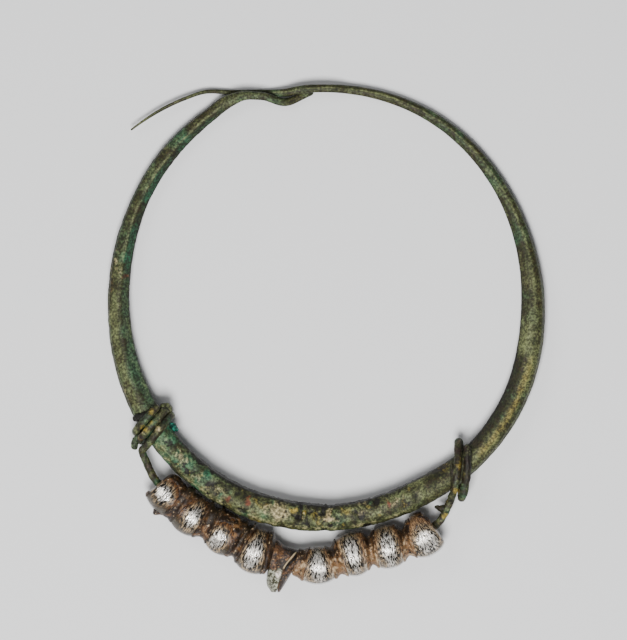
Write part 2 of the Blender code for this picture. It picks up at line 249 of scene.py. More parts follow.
# Fineness of the modelled surfaces
HOOP_RINGS = 1500
HOOP_SIDES = 56
WIRE_STEP = 0.14 * MM
WIRE_SIDES = 28
GLASS_RINGS = 44
GLASS_SIDES = 72
STRAND_RINGS = 60
STRAND_SIDES = 28
BROKEN_RINGS = 110
BROKEN_SIDES = 110
CRUST_RINGS = 700
CRUST_SIDES = 96


def smooth_through(x, knots, values):
    """Cubic curve through the knots, its slopes taken from each knot's neighbours."""
    knots = np.asarray(knots, dtype=float)
    values = np.asarray(values, dtype=float)
    slopes = np.gradient(values, knots)
    x = np.clip(x, knots[0], knots[-1])
    low = np.clip(np.searchsorted(knots, x) - 1, 0, len(knots) - 2)
    span = knots[low + 1] - knots[low]
    t = (x - knots[low]) / span
    rise = values[low + 1] - values[low]
    first = slopes[low] * span - rise
    last = rise - slopes[low + 1] * span
    return values[low] + t * rise + t * (1 - t) * (first * (1 - t) + last * t)


def smooth_step(x):
    """x x (3 - 2 x), with x held between 0 and 1."""
    x = np.clip(x, 0, 1)
    return x * x * (3 - 2 * x)


def between(x, low, high):
    """0 below low, 1 above high, eased between."""
    return smooth_step((x - low) / (high - low))


def hump(x, middle, width):
    """exp(-((x - middle) / width)^2)."""
    return np.exp(-((x - middle) / width) ** 2)


def flat_hump(x, middle, width):
    """exp(-((x - middle) / width)^4), a round-topped bump with steep sides."""
    return np.exp(-((x - middle) / width) ** 4)


def polar(angles, radii, heights):
    """(r cos a, r sin a, h) for angles in degrees."""
    turned = np.radians(angles)
    return np.stack([radii * np.cos(turned), radii * np.sin(turned), heights], axis=-1)


def outward_at(angles):
    """Level directions away from the hoop's centre."""
    return polar(angles, np.ones_like(angles), np.zeros_like(angles))


def unit(vectors):
    """v / |v|."""
    return vectors / np.maximum(np.linalg.norm(vectors, axis=-1, keepdims=True), 1e-12)


def bar_radius(angles):
    """Radius of the bar's middle line."""
    knots, radii, _ = np.transpose(HOOP_STATIONS)
    return HOOP_RADIUS * smooth_through(angles, knots, radii)


def bar_thickness(angles):
    """Thickness of the bar in the hoop's plane."""
    knots, _, thicknesses = np.transpose(HOOP_STATIONS)
    return HOOP_THICKNESS * smooth_through(angles, knots, thicknesses)


def clasp_offset(angles):
    """d (cos t, sin t): where one lapped end lies from the other, inwards and in front."""
    turn = np.radians(smooth_through(angles, *np.transpose(CLASP_TURN)))
    touching = (bar_thickness(angles) + bar_thickness(angles - 360)) / 2
    apart = touching + CLASP_CLEARANCE
    return apart * np.cos(turn), apart * np.sin(turn)


def winding_height(angle):
    """Height of the bar's middle over a winding that rests on the floor."""
    half_height = HOOP_FLATNESS * bar_thickness(angle) / 2
    return half_height + WRAP_CLEARANCE + WIRE_DIAMETER - WORN_FLAT


def clasp_height():
    """Height of the hoop's plane at the clasp, resting on the end that lies behind."""
    _, in_front = clasp_offset(CLASP_END_ANGLE)
    half_height = HOOP_FLATNESS * bar_thickness(CLASP_END_ANGLE - 360) / 2
    return half_height - in_front / 2 - WORN_FLAT


def row_radius(angle, index):
    """Radius at which a bead clears the hoop's outer edge by its own distance."""
    diameter, _, stand_off = BEAD_ROW[index]
    return bar_radius(angle) + bar_thickness(angle) / 2 + stand_off + diameter / 2


def bead_angles_and_radii():
    """a[i + 1] = a[i] + pitch[i] / r[i]."""
    angles = [ROW_START_ANGLE]
    for _, pitch, _ in BEAD_ROW[:-1]:
        angles.append(angles[-1] + np.degrees(pitch / row_radius(angles[-1], len(angles) - 1)))
    radii = [row_radius(angle, index) for index, angle in enumerate(angles)]
    return np.array(angles), np.array(radii)


BEAD_ANGLES, BEAD_RADII = bead_angles_and_radii()
STRING_HEIGHT = (max(diameter for diameter, _, _ in BEAD_ROW) / 2
                 * np.cos(np.pi / BEAD_SIDES) - WORN_FLAT)
LEFT_WRAP_ANGLE = BEAD_ANGLES[0] - np.degrees(LEFT_STEM / BEAD_RADII[0])
RIGHT_WRAP_ANGLE = BEAD_ANGLES[-1] + np.degrees(RIGHT_STEM / BEAD_RADII[-1])


def resting_plane():
    """p with (x, y, 1) . p = z at the two windings and the clasp."""
    angles = np.array([LEFT_WRAP_ANGLE, RIGHT_WRAP_ANGLE, CLASP_END_ANGLE])
    left = winding_height(LEFT_WRAP_ANGLE)
    right = winding_height(RIGHT_WRAP_ANGLE)
    heights = np.array([left, right, clasp_height()])
    places = polar(angles, bar_radius(angles), np.ones(3))
    return np.linalg.solve(places, heights)


PLANE = resting_plane()


def plane_height(angles, radii):
    """Height of the hoop's plane at a place."""
    return polar(angles, radii, np.ones_like(radii)) @ PLANE


def winding_reach(centre):
    """How far the wire's middle lies from the bar's middle in a winding."""
    return bar_thickness(centre) / 2 + WRAP_CLEARANCE + WIRE_DIAMETER / 2


def leaving_place(centre, along, lean):
    """Angle and radius at which a stem is clear of the outer side of its winding."""
    reach = winding_reach(centre)
    angle = centre + np.degrees((along + lean * reach) / HOOP_RADIUS)
    return angle, bar_radius(angle) + reach + STEM_STAND_OFF


LEFT_LEAVING = leaving_place(
    LEFT_WRAP_ANGLE, LEFT_PITCH * (LEFT_TURNS / 2 - 0.25) + LEFT_LEAD, LEFT_LEAN)
RIGHT_LEAVING = leaving_place(
    RIGHT_WRAP_ANGLE, RIGHT_PITCH * (0.25 - RIGHT_TURNS / 2) - RIGHT_LEAD, RIGHT_LEAN)


def string_knots():
    """Places the string passes: it runs on straight out of the two end beads."""
    run = BEAD_BULGE_LENGTH / 2 * np.array([1.0, 1.2])
    first = BEAD_ANGLES[0] - np.degrees(run / BEAD_RADII[0])
    last = BEAD_ANGLES[-1] + np.degrees(run / BEAD_RADII[-1])
    angles = [LEFT_LEAVING[0], *first[::-1], *BEAD_ANGLES, *last, RIGHT_LEAVING[0]]
    first = BEAD_RADII[0] - LEFT_END_SLOPE * run
    last = BEAD_RADII[-1] - RIGHT_END_SLOPE * run
    radii = [LEFT_LEAVING[1], *first[::-1], *BEAD_RADII, *last, RIGHT_LEAVING[1]]
    return np.array(angles), np.array(radii)


STRING_ANGLES, STRING_RADII = string_knots()


def string_point(angles):
    """Wire's middle line from one stem through the beads to the other."""
    radii = smooth_through(angles, STRING_ANGLES, STRING_RADII)
    return polar(angles, radii, np.full_like(radii, STRING_HEIGHT))


def squared(values, squareness):
    """sign(v) |v|^(2 / s)."""
    return np.sign(values) * np.abs(values) ** (2 / squareness)


def square_to(along, outward):
    """Across and up directions, square to a route that runs along these unit vectors."""
    across = unit(outward - along * np.sum(outward * along, axis=1, keepdims=True))
    return across, np.cross(along, across)


def frames_along(route, outward):
    """Across and up directions square to the route."""
    return square_to(unit(np.gradient(route, axis=0)), outward)


def angles_round(sides):
    """Equal angles once round, in radians."""
    return np.arange(sides) * 2 * np.pi / sides


def spokes(turned, across, up):
    """cos t across + sin t up, for each place of a route and each angle round it."""
    return (np.cos(turned)[..., None] * across[:, None, :]
            + np.sin(turned)[..., None] * up[:, None, :])


def travel_along(points):
    """Distance run along a row of points."""
    steps = np.linalg.norm(np.diff(points, axis=0), axis=1)
    return np.concatenate([[0], np.cumsum(steps)])


def with_poles(points, poles, marks):
    """Points of a tube with a pole at each end, and its marks, 0 at the poles."""
    shape = points.shape[:-1]
    marks = {name: np.append(np.broadcast_to(values, shape), [0, 0]) for name, values in marks.items()}
    return np.concatenate([points.reshape(-1, 3), poles]), marks


def held(marks):
    """The marks, each kept between 0 and 1.5."""
    return {name: np.clip(values, 0, 1.5) for name, values in marks.items()}


def end_middles(points):
    """Middle of a tube's first and last ring."""
    return np.stack([points[0].mean(axis=0), points[-1].mean(axis=0)])


def lattice(corners, seed):
    """Whole-number lattice points hashed to values between -1 and 1."""
    x, y, z = (corners[..., k].astype(np.uint32) for k in range(3))
    h = x * np.uint32(374761393) + y * np.uint32(668265263) + z * np.uint32(2147483647)
    h = (h + np.uint32(seed)) * np.uint32(1274126177)
    h = (h ^ (h >> np.uint32(13))) * np.uint32(1103515245)
    h = h ^ (h >> np.uint32(16))
    return (h & np.uint32(0xFFFFFF)).astype(float) / 0x7FFFFF - 1


def noise(points, size, seed):
    """Value noise: the eight lattice values round p / size, mixed by 3 t^2 - 2 t^3."""
    place = points / size + 1000.5
    cell = np.floor(place)
    t = place - cell
    t = t * t * (3 - 2 * t)
    cell = cell.astype(np.int64)
    total = np.zeros(points.shape[:-1])
    for corner in np.ndindex(2, 2, 2):
        weight = np.prod(np.where(corner, t, 1 - t), axis=-1)
        total += weight * lattice(cell + np.array(corner), seed)
    return total


def rough(points, size, octaves, seed):
    """Sum of noise(p, size / 2^k) / 2^k."""
    total = sum(noise(points, size / 2 ** k, seed + 17 * k) / 2 ** k for k in range(octaves))
    return total / (2 - 2 ** (1 - octaves))


def cell_corners(rings, sides):
    """Point numbers at the four corners of each cell of a tube."""
    ring, side = np.arange(rings - 1)[:, None] * sides, np.arange(sides)[None, :]
    following = (side + 1) % sides
    return np.stack([ring + side, ring + following, ring + sides + following, ring + sides + side])


def ring_cells(rings, sides):
    """Quads of a tube, with a fan to one pole point at each end."""
    quads = cell_corners(rings, sides).reshape(4, -1).T.tolist()
    pole, last = rings * sides, (rings - 1) * sides
    start = [[pole, (k + 1) % sides, k] for k in range(sides)]
    end = [[pole + 1, last + k, last + (k + 1) % sides] for k in range(sides)]
    return quads + start + end


def make_piece(name, points, faces, material, marks=None, node=None):
    """Smooth mesh in the row frame, with point attributes, riding on the root body."""
    mesh = bpy.data.meshes.new(name)
    placed = np.clip(points.reshape(-1, 3) + CENTRE, LOWEST, HIGHEST)
    mesh.from_pydata(placed.tolist(), [], faces)
    mesh.materials.append(material)
    mesh.shade_smooth()
    for label, values in (marks or {}).items():
        layer = mesh.attributes.new(label, "FLOAT", "POINT")
        layer.data.foreach_set("value", np.ascontiguousarray(values, dtype=np.float32).ravel())
    piece = bpy.data.objects.new(name, mesh)
    bpy.context.scene.collection.objects.link(piece)
    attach(piece, "root")
    if node:
        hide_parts(node)


def hoop_route(angles):
    """Middle line of the bar, its end on the left limb bent round the other at the clasp."""
    radii = bar_radius(angles)
    _, tail_front = clasp_offset(angles)
    lifts = -np.where(angles > 0, tail_front / 2, 0)
    other = angles + 360
    inwards, in_front = clasp_offset(other)
    lapped = smooth_step((CLASP_START_ANGLE - other) / CLASP_JOIN)
    lifted = smooth_step((CLASP_LIFT_ANGLE - other) / CLASP_JOIN)
    radii = radii + np.where(angles < 0, lapped, 0) * (bar_radius(other) - inwards - radii)
    lifts = lifts + np.where(angles < 0, lifted, 0) * in_front / 2
    return polar(angles, radii, plane_height(angles, radii) + lifts)


def find_centre():
    """Hoop's centre in the row frame, from the box of its solid."""
    low, high = (np.array(corner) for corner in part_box("hoop"))
    angles = np.linspace(-350, 60, 3000)
    route = hoop_route(angles)
    edge = route + outward_at(angles) * bar_thickness(angles)[:, None] / 2
    middle = (edge.min(axis=0) + edge.max(axis=0)) / 2
    x = (low[0] + high[0]) / 2 - middle[0]
    y = low[1] - edge[:, 1].min()
    return np.array([x, y, 0])


CENTRE = find_centre()


def plan_spot(points, x, y, size):
    """exp(-d^2 / size^2), d measured in plan from a place given in mm."""
    gap = (points[..., 0] - x * MM) ** 2 + (points[..., 1] - y * MM) ** 2
    return np.exp(-gap / (size * MM) ** 2)


def spots(points, places, wobble):
    """Largest of several plan spots, each (x mm, y mm, size mm, strength), their edges wobbly."""
    moved = points + wobble * MM * np.stack(
        [noise(points, 0.7 * MM, 91), noise(points, 0.7 * MM, 92), points[..., 2] * 0], axis=-1)
    total = np.zeros(points.shape[:-1])
    for x, y, size, strength in places:
        total = np.maximum(total, strength * plan_spot(moved, x, y, size))
    return total


# Flat facets worn on the bar: which way each faces, and how deep it cuts, as a share of
# half the bar, on the left, on the right and at the bottom
FACETS = (
    (138, 0.20, 0.10, 0),
    (62, 0.13, 0.05, 0),
    (100, 0.04, 0, 0.06),
    (20, 0.07, 0.06, 0),
    (170, 0.05, 0, 0.05),
)
# Notches across the bottom: angle and depth in mm
NOTCHES = (
    (-97.3, 0.34),
    (-95.4, 0.20),
    (-93.2, 0.30),
    (-90.7, 0.24),
    (-87.6, 0.12),
)
# Marks on the hoop, in mm from its centre: x, y, size, strength
RUST_SPOTS = (
    (-12.7, -24.9, 0.55, 1.0),
    (-10.4, -25.4, 0.55, 1.1),
    (-10.1, -24.7, 0.45, 1.0),
    (8.1, -25.8, 0.4, 0.9),
    (-8.2, -25.6, 0.5, 0.6),
    (7.9, -25.3, 0.6, 0.6),
    (0.2, -27.0, 0.8, 0.60),
    (-22.3, 14.6, 0.45, 0.8),
    (-27.3, 8.6, 0.5, 0.5),
    (-14.9, 22.9, 0.4, 0.7),
    (-26.2, 3.9, 0.5, 0.8),
)
CREAM_SPOTS = (
    (-6.0, -26.5, 1.3, 1.0),
    (-8.0, -26.0, 0.8, 0.9),
    (0.2, -27.0, 0.9, 1.0),
    (-3.1, -27.0, 0.4, 1.0),
    (4.5, -26.8, 1.2, 0.7),
    (-18.8, -20.1, 1.1, 0.65),
    (-16.7, -22.1, 0.9, 0.55),
    (-14.5, -24.3, 0.8, 0.50),
    (-19.5, -19.1, 0.5, 1.0),
    # The next two, on the left limb's outer side, make a pale streak that is partly painted highlight
    (-27.4, 6.2, 0.6, 0.7),
    (-27.1, 5.0, 0.4, 0.6),
    (4.7, -27.0, 0.7, 0.9),
)
GREEN_SPOTS = (
    (-20.2, -17.1, 1.2, 0.9),
    (-17.9, -19.9, 1.5, 0.75),
    (-19.5, -19.1, 0.6, 0.9),
    (-12.9, -24.0, 0.7, 0.8),
    (-7.0, -25.5, 0.8, 0.8),
    (-8.3, -27.2, 0.8, 1.0),
    (-6.8, -25.3, 0.7, 0.9),
    (-14.1, -25.0, 0.6, 0.8),
    (5.6, -25.4, 0.6, 0.7),
    (-10.6, -27.1, 0.9, 0.6),
    (-24.9, 9.6, 1.3, 0.8),
    (-23.4, 14.0, 1.0, 0.8),
    (-26.0, 6.6, 1.2, 0.8),
)
GOLD_SPOTS = (
    # The first three, beside the dark pit, are bare gold metal painted as bright as it shines: partly its
    # own colour, partly painted highlight
    (-4.4, -26.6, 0.40, 1.5),
    (-3.0, -26.7, 0.38, 1.5),
    (-1.4, -26.8, 0.38, 1.4),
    (-1.6, -26.9, 0.6, 0.8),
    (15.1, -20.9, 0.8, 0.7),
    (-9.0, -28.0, 0.6, 0.8),
    (17.0, -23.8, 0.6, 0.9),
    (2.4, -26.6, 0.6, 0.6),
    (-12.5, -25.9, 0.4, 0.5),
)
DARK_SPOTS = (
    (-3.7, -27.4, 0.55, 1.3),
    (-2.2, -26.5, 0.35, 1.1),
    (-0.7, -26.8, 0.35, 1.2),
    (-11.6, -24.0, 0.7, 0.9),
    (-9.2, -24.4, 0.7, 0.8),
    (-15.1, -23.2, 0.8, 1.0),
    (-13.3, -23.6, 0.9, 0.9),
    (-0.9, -26.7, 0.4, 1.0),
    (14.8, -21.0, 1.2, 0.9),
    (-10.4, -24.3, 0.9, 0.7),
)
# The same for the wire; its cream spots are painted highlights on the turns, and its gold spots partly
# yellow metal, partly painted highlights
WIRE_GOLD_AND_HIGHLIGHT_SPOTS = (
    (-23.7, -15.8, 0.55, 1.1),
    (-22.8, -13.6, 0.45, 0.9),
    (-23.0, -15.0, 0.40, 0.7),
    (16.8, -24.0, 0.45, 1.2),
    (15.4, -27.2, 0.50, 1.2),
    (17.2, -20.5, 0.60, 0.7),
)
WIRE_CREAM_HIGHLIGHT_SPOTS = (
    (-22.1, -15.9, 0.5, 1.0),
    (-24.0, -16.5, 0.35, 0.7),
    (-21.9, -14.8, 0.4, 0.5),
)
WIRE_DARK_SPOTS = (
    (18.6, -20.2, 1.6, 0.9),
    (18.3, -22.4, 1.0, 0.8),
    (16.0, -25.2, 0.7, 0.7),
    (-21.4, -17.2, 0.6, 0.8),
)


def bar_regions(a):
    """How far each angle belongs to the parts of the bar that corroded in their own way."""
    return SimpleNamespace(
        left=between(-a, 142, 158) * between(a, -246, -238),
        upper_left=between(-a, 175, 200) * between(a, -246, -238),
        lower_left=between(a, -150, -144) * between(-a, 118, 128),
        bottom=between(-a, 58, 70) * between(a, -146, -138),
        right=between(a, -56, -46) * between(-a, -88, -70),
        right_low=between(a, -48, -42) * between(-a, 8, 18),
        upper_right=between(a, -6, 8),
    )


def bar_section(half, turned, at):
    """(h sq(cos f), 0.92 h sq(sin f)), with h half the bar's thickness, cut by the facets.

    A facet facing angle n at distance d h takes off max(0, p . n - d h).
    """
    wide = half * squared(np.cos(turned), HOOP_SQUARENESS)
    high = half * HOOP_FLATNESS * squared(np.sin(turned), HOOP_SQUARENESS)
    for facing, left_cut, right_cut, bottom_cut in FACETS:
        facing = np.radians(facing)
        distance = 1 - left_cut * at.left - right_cut * at.right - bottom_cut * at.bottom
        over = wide * np.cos(facing) + high * np.sin(facing) - distance * half
        over = np.maximum(over, 0)
        wide = wide - over * np.cos(facing)
        high = high - over * np.sin(facing)
    return wide, high


def hoop_surface():
    """Bar of the faceted section, roughened and notched by corrosion, its ends drawn in.

    Corrosion moves each point p of the section along p / |p| by a sum of noises, less
    pits, notches exp(-((a - a0) / 0.55)^2) and dark spots, plus the cream lumps.
    """
    angles = np.linspace(HOOP_STATIONS[-1][0], CLASP_END_ANGLE - 360, HOOP_RINGS)
    route = hoop_route(angles)
    half = bar_thickness(angles)[:, None] / 2
    across, up = frames_along(route, outward_at(angles))
    turned = angles_round(HOOP_SIDES)
    a = angles[:, None]
    at = bar_regions(a)
    wide, high = bar_section(half, turned, at)
    radial = wide[..., None] * across[:, None, :] + high[..., None] * up[:, None, :]
    rest = route[:, None, :] + radial
    coarse = rough(rest, 2.2 * MM, 3, 3)
    medium = rough(rest, 0.8 * MM, 3, 5)
    fine = rough(rest, 0.35 * MM, 2, 7)
    pits = between(rough(rest, 1.0 * MM, 3, 11), 0.22, 0.5)
    notch_angles, notch_depths = np.transpose(NOTCHES)
    moved = a + 0.35 * noise(rest, 0.9 * MM, 21)
    notches = hump(moved[..., None], notch_angles, 0.55) @ notch_depths
    notches = notches * hump(np.degrees(turned), 100, 42)
    front = between(np.sin(turned), 0.0, 0.5)
    amount = 0.045 + 0.090 * at.bottom + 0.020 * at.left
    depth = amount * (0.8 * coarse + 0.7 * medium + 0.45 * fine) - 0.16 * at.bottom * pits
    depth -= notches + 0.25 * spots(rest, DARK_SPOTS, 0.3) * front
    depth += 0.14 * spots(rest, CREAM_SPOTS, 0.3) * front
    depth = depth * between(half, 0.3 * MM, 1.2 * MM) * MM - 0.03 * MM
    travel = np.cumsum(np.linalg.norm(np.gradient(route, axis=0), axis=1))
    to_end = np.minimum(travel, travel[-1] - travel)[:, None]
    drawn_in = 1 - np.sqrt(1 - (1 - np.clip(to_end / np.maximum(half, 0.2 * MM), 0, 1)) ** 2)
    points = rest + depth[..., None] * unit(radial)
    points = points + 0.97 * drawn_in[..., None] * (route[:, None, :] - points)
    marks = hoop_marks(rest, a, wide / half, high / half, at, coarse, medium, pits, notches)
    return with_poles(points, end_middles(points), held(marks))


def hoop_marks(rest, a, outward, upward, at, coarse, medium, pits, notches):
    """Strength of each corrosion colour on the bar, from sums of noises, bands and spots; some bands are
    painted highlights and painted shade that follow the bar's form.
    """
    inward = -outward
    place = np.stack(np.broadcast_arrays(
        a * 0.12 * MM, outward * 0.8 * MM, upward * 0.8 * MM), axis=-1)
    streak = rough(place, 0.5 * MM, 3, 31)
    pale = 0.38 + 0.30 * medium + 0.22 * coarse + 0.25 * streak
    # Painted highlight along the ridge of the upper left limb, and along a line on the upper right
    pale += 0.75 * hump(outward, -0.12 + 0.15 * streak, 0.16) * at.upper_left
    pale += 0.40 * hump(outward, 0.15 + 0.15 * streak, 0.15) * at.upper_right
    pale -= 0.28 * at.upper_left + 0.12 * at.upper_right + 0.06 * at.lower_left
    # Paler along the bottom's outer edge: partly pale corrosion, partly painted highlight from below
    pale += at.bottom * (0.02 + 0.22 * medium + 0.15 * hump(outward, 0.74, 0.14))
    # Left limb: painted highlight on the outer side, painted shade towards the inner side
    pale += at.left * (0.22 * hump(outward, 0.35, 0.4) - 0.25 * hump(outward, -0.15, 0.25))
    # Low on the right limb: painted highlight on the outer side, painted shade on the inner side
    pale += at.right_low * (0.25 * hump(outward, 0.4, 0.3) - 0.45 * between(inward, 0.0, 0.5))
    pale += 0.40 * hump(a, -10, 5) * between(inward, -0.2, 0.4)
    green = 0.20 + 0.55 * rough(rest, 2.6 * MM, 3, 41) + 0.30 * at.lower_left
    green += at.left * (0.15 + 0.25 * between(inward, 0.1, 0.6)) + 0.3 * medium
    green += 0.60 * at.lower_left * between(rough(rest, 1.5 * MM, 3, 47), 0.0, 0.30)
    dark = 0.05 + 0.9 * pits * at.bottom + 0.45 * between(-medium, 0.3, 0.8) + 2.6 * notches
    # Painted shade along the bar's inner and outer edges
    dark += 0.75 * between(inward, 0.80, 0.97) + 0.6 * between(outward, 0.90, 0.99)
    # Painted shade in a band along the inner edge of the bottom stretch
    dark += 0.70 * at.bottom * between(inward + 0.35 * medium, 0.45, 0.85)
    dark += 0.35 * at.upper_left * (1 - hump(outward, -0.12, 0.3)) * between(medium, -0.3, 0.3)
    # Painted shade along the inner side of the left limb
    dark += 0.30 * at.left * hump(outward, -0.55, 0.25)
    # Painted shade on the inner side of the right limb, low
    dark += 0.45 * at.right_low * between(inward, 0.15, 0.6)
    dark += 0.30 * at.bottom * between(rough(rest, 1.1 * MM, 3, 45), 0.20, 0.50)
    rust = 0.35 * between(rough(rest, 0.9 * MM, 3, 51), 0.42, 0.6)
    rust += 0.45 * at.left * hump(a, -186, 5) * hump(outward, 0.6, 0.3)
    gold = 0.52 * at.right_low * hump(outward, 0.22 + 0.1 * streak, 0.36)
    gold += 0.55 * at.bottom * between(rough(rest, 0.8 * MM, 3, 61), 0.25, 0.55)
    # Cream along the bottom's outer edge: partly pale corrosion, partly painted highlight
    lip_and_highlight = at.bottom * hump(outward, 0.78, 0.16) * (0.45 + 0.5 * medium)
    bottom_flecks = 0.60 * at.bottom * between(rough(rest, 0.6 * MM, 3, 63), 0.35, 0.55)
    # Pale flecks on the left limb's outer side: partly pale corrosion, partly painted highlight
    left_flecks_and_highlight = 0.55 * at.left * between(outward, 0.35, 0.8)
    left_flecks_and_highlight = left_flecks_and_highlight * between(rough(rest, 0.7 * MM, 3, 65), 0.25, 0.5)
    flecks = np.maximum(bottom_flecks, left_flecks_and_highlight)
    return {
        "pale": pale,
        "green": np.maximum(green, spots(rest, GREEN_SPOTS, 0.5)),
        "dark": np.maximum(dark, spots(rest, DARK_SPOTS, 0.4)),
        "rust": np.maximum(rust, spots(rest, RUST_SPOTS, 0.4)),
        "gold": np.maximum(gold, spots(rest, GOLD_SPOTS, 0.4)),
        "cream": np.maximum(np.maximum(lip_and_highlight, flecks), spots(rest, CREAM_SPOTS, 0.9)),
    }


def socket(tree, name, kind, direction, value=None):
    """Give a node group a named socket."""
    made = tree.interface.new_socket(name=name, in_out=direction, socket_type=kind)
    if value is not None:
        made.default_value = value


class Signal:
    """Output of a shader node, which takes part in sums as a number does."""

    def __init__(self, output):
        self.output = output
        self.tree = output.id_data

    def reckoned(self, operation, other):
        """Math node on this output and a number or another output."""
        return add(self.tree, "ShaderNodeMath", {0: self, 1: other}, operation=operation)

    def __add__(self, other):
        return self.reckoned("ADD", other)

    def __sub__(self, other):
        return self.reckoned("SUBTRACT", other)

    def __mul__(self, other):
        return self.reckoned("MULTIPLY", other)

    def ramp(self, low, high):
        """Eased from 0 at low to 1 at high."""
        ends = {"Value": self, "From Min": low, "From Max": high}
        return add(self.tree, "ShaderNodeMapRange", ends, "Result", interpolation_type="SMOOTHSTEP")

    def mix(self, a, b):
        """Colour a turned to colour b by this share."""
        a, b = (c if isinstance(c, Signal) else (*c, 1) for c in (a, b))
        return add(self.tree, "ShaderNodeMix", {0: self, 6: a, 7: b}, 2, data_type="RGBA")


def connect(node, inputs):
    """Set a node's inputs to values, or link them from signals."""
    for key, value in inputs.items():
        if isinstance(value, Signal):
            node.id_data.links.new(value.output, node.inputs[key])
        else:
            node.inputs[key].default_value = value


def add(tree, kind, inputs=None, output=0, **settings):
    """Signal from one output of a new node with these inputs and settings."""
    node = tree.nodes.new(kind)
    for key, value in settings.items():
        setattr(node, key, value)
    connect(node, inputs or {})
    return Signal(node.outputs[output])


def object_place(tree):
    """The piece's own coordinates."""
    return add(tree, "ShaderNodeTexCoord", output="Object")


def mark(tree, name):
    """Named attribute of the mesh."""
    return add(tree, "ShaderNodeAttribute", output="Fac", attribute_name=name)


def grain(where, scale, detail, roughness=0.5, distortion=0.0):
    """Noise texture on the given coordinates."""
    inputs = {"Vector": where, "Scale": scale, "Detail": detail,
              "Roughness": roughness, "Distortion": distortion}
    return add(where.tree, "ShaderNodeTexNoise", inputs, "Fac")


def bumped(height, distance, strength=1.0):
    """Normal bumped by a height."""
    inputs = {"Strength": strength, "Distance": distance, "Height": height}
    return add(height.tree, "ShaderNodeBump", inputs, "Normal")


def patina_group():
    """Colour, roughness and bumped normal of corroded bronze, from its painted marks, which also hold
    painted highlights and painted shade.
    """
    tree = bpy.data.node_groups.new("corroded_bronze", "ShaderNodeTree")
    for name, colour in PATINA.items():
        socket(tree, name, "NodeSocketColor", "INPUT", (*colour, 1))
    for name in MARKS:
        socket(tree, name.capitalize() + " Mark", "NodeSocketFloat", "INPUT", 0.0)
    socket(tree, "Grain Size", "NodeSocketFloat", "INPUT", 0.3)
    socket(tree, "Color", "NodeSocketColor", "OUTPUT")
    socket(tree, "Roughness", "NodeSocketFloat", "OUTPUT")
    socket(tree, "Normal", "NodeSocketVector", "OUTPUT")
    outputs = tree.nodes.new("NodeGroupInput").outputs
    source = {output.name: Signal(output) for output in outputs}
    where = object_place(tree)
    scale = add(tree, "ShaderNodeMath", {0: 1000.0, 1: source["Grain Size"]}, operation="DIVIDE")
    fine = grain(where, scale, 3, 0.7)
    broad = grain(where, scale * 0.35, 4, 0.65)
    mottle = fine * 0.6 + broad * 0.4
    shift = (mottle - 0.5) * 2.6
    colour = broad.ramp(0.42, 0.60).mix(source["Base"], source["Brown"])
    for name, low, high, stirred in PATINA_LAYERS:
        painted = source[name + " Mark"]
        shown = (painted + shift * stirred).ramp(low, high) * painted.ramp(0.02, 0.2)
        colour = shown.mix(colour, source[name])
    darker = add(tree, "ShaderNodeMix", {0: 0.65, 6: colour, 7: source["Dark"]}, 2, data_type="RGBA")
    ends = {"Value": mottle, "From Min": 0.35, "From Max": 0.65, "To Min": 0.72, "To Max": 0.48}
    connect(tree.nodes.new("NodeGroupOutput"), {
        "Color": fine.ramp(0.62, 0.40).mix(colour, darker),
        "Roughness": add(tree, "ShaderNodeMapRange", ends, "Result"),
        "Normal": bumped(mottle, 0.00016, 0.75),
    })
    return tree


def new_material(name):
    """Empty node material with its Principled shader."""
    material = bpy.data.materials.new(name)
    material.use_nodes = True
    tree = material.node_tree
    return material, tree, tree.nodes["Principled BSDF"]


def bronze_material(name, group, **colours):
    """Principled shader fed by the corroded bronze group and the mesh's marks."""
    material, tree, shader = new_material(name)
    node = tree.nodes.new("ShaderNodeGroup")
    node.node_tree = group
    connect(node, {painted.capitalize() + " Mark": mark(tree, painted) for painted in MARKS})
    connect(node, {colour: (*value, 1) for colour, value in colours.items()})
    connect(shader, {
        "Base Color": Signal(node.outputs["Color"]),
        "Roughness": Signal(node.outputs["Roughness"]),
        "Normal": Signal(node.outputs["Normal"]),
        "Metallic": 0.15,
        "Specular IOR Level": 0.28,
    })
    return material


def crystal_material():
    """Bright teal corrosion crystals."""
    material, tree, shader = new_material("teal_crystal")
    fine = grain(object_place(tree), 3500, 3)
    connect(shader, {
        "Base Color": fine.ramp(0.4, 0.6).mix((0.001, 0.022, 0.016), (0.004, 0.120, 0.080)),
        "Normal": bumped(fine, 0.0002),
        "Roughness": 0.50,
        "Specular IOR Level": 0.25,
    })
    return material


def winding(centre, turn_angles, along, lean, slack, side):
    """Points of a winding round the bar, as in the solid.

    out = (reach + slack) sq(cos t), up = side rise sq(sin t), along += lean out.
    """
    turned = np.radians(turn_angles)
    reach = winding_reach(centre)
    rise = reach - (1 - HOOP_FLATNESS) * bar_thickness(centre) / 2
    out = (reach + slack) * squared(np.cos(turned), HOOP_SQUARENESS)
    up = side * rise * squared(np.sin(turned), HOOP_SQUARENESS)
    angles = centre + np.degrees((along + lean * out) / HOOP_RADIUS)
    radii = bar_radius(angles)
    middle = polar(angles, radii, plane_height(angles, radii))
    level = outward_at(angles)
    straight_up = np.array([0, 0, 1])
    points = middle + out[:, None] * level + up[:, None] * straight_up
    return points, unit(out[:, None] * level + up[:, None] * straight_up)


def left_winding():
    """Turns from the wire's tucked end up to where it leaves for the beads."""
    turns = np.arange(225, 360 * LEFT_TURNS - 44, 22.5)
    along = LEFT_PITCH * ((turns - 270) / 360 - (LEFT_TURNS - 1) / 2)
    slack = LEFT_OUTER_SLACK * np.exp(-((turns - 720) / SLACK_SPREAD) ** 2)
    return winding(LEFT_WRAP_ANGLE, turns, along, LEFT_LEAN, slack, -1)


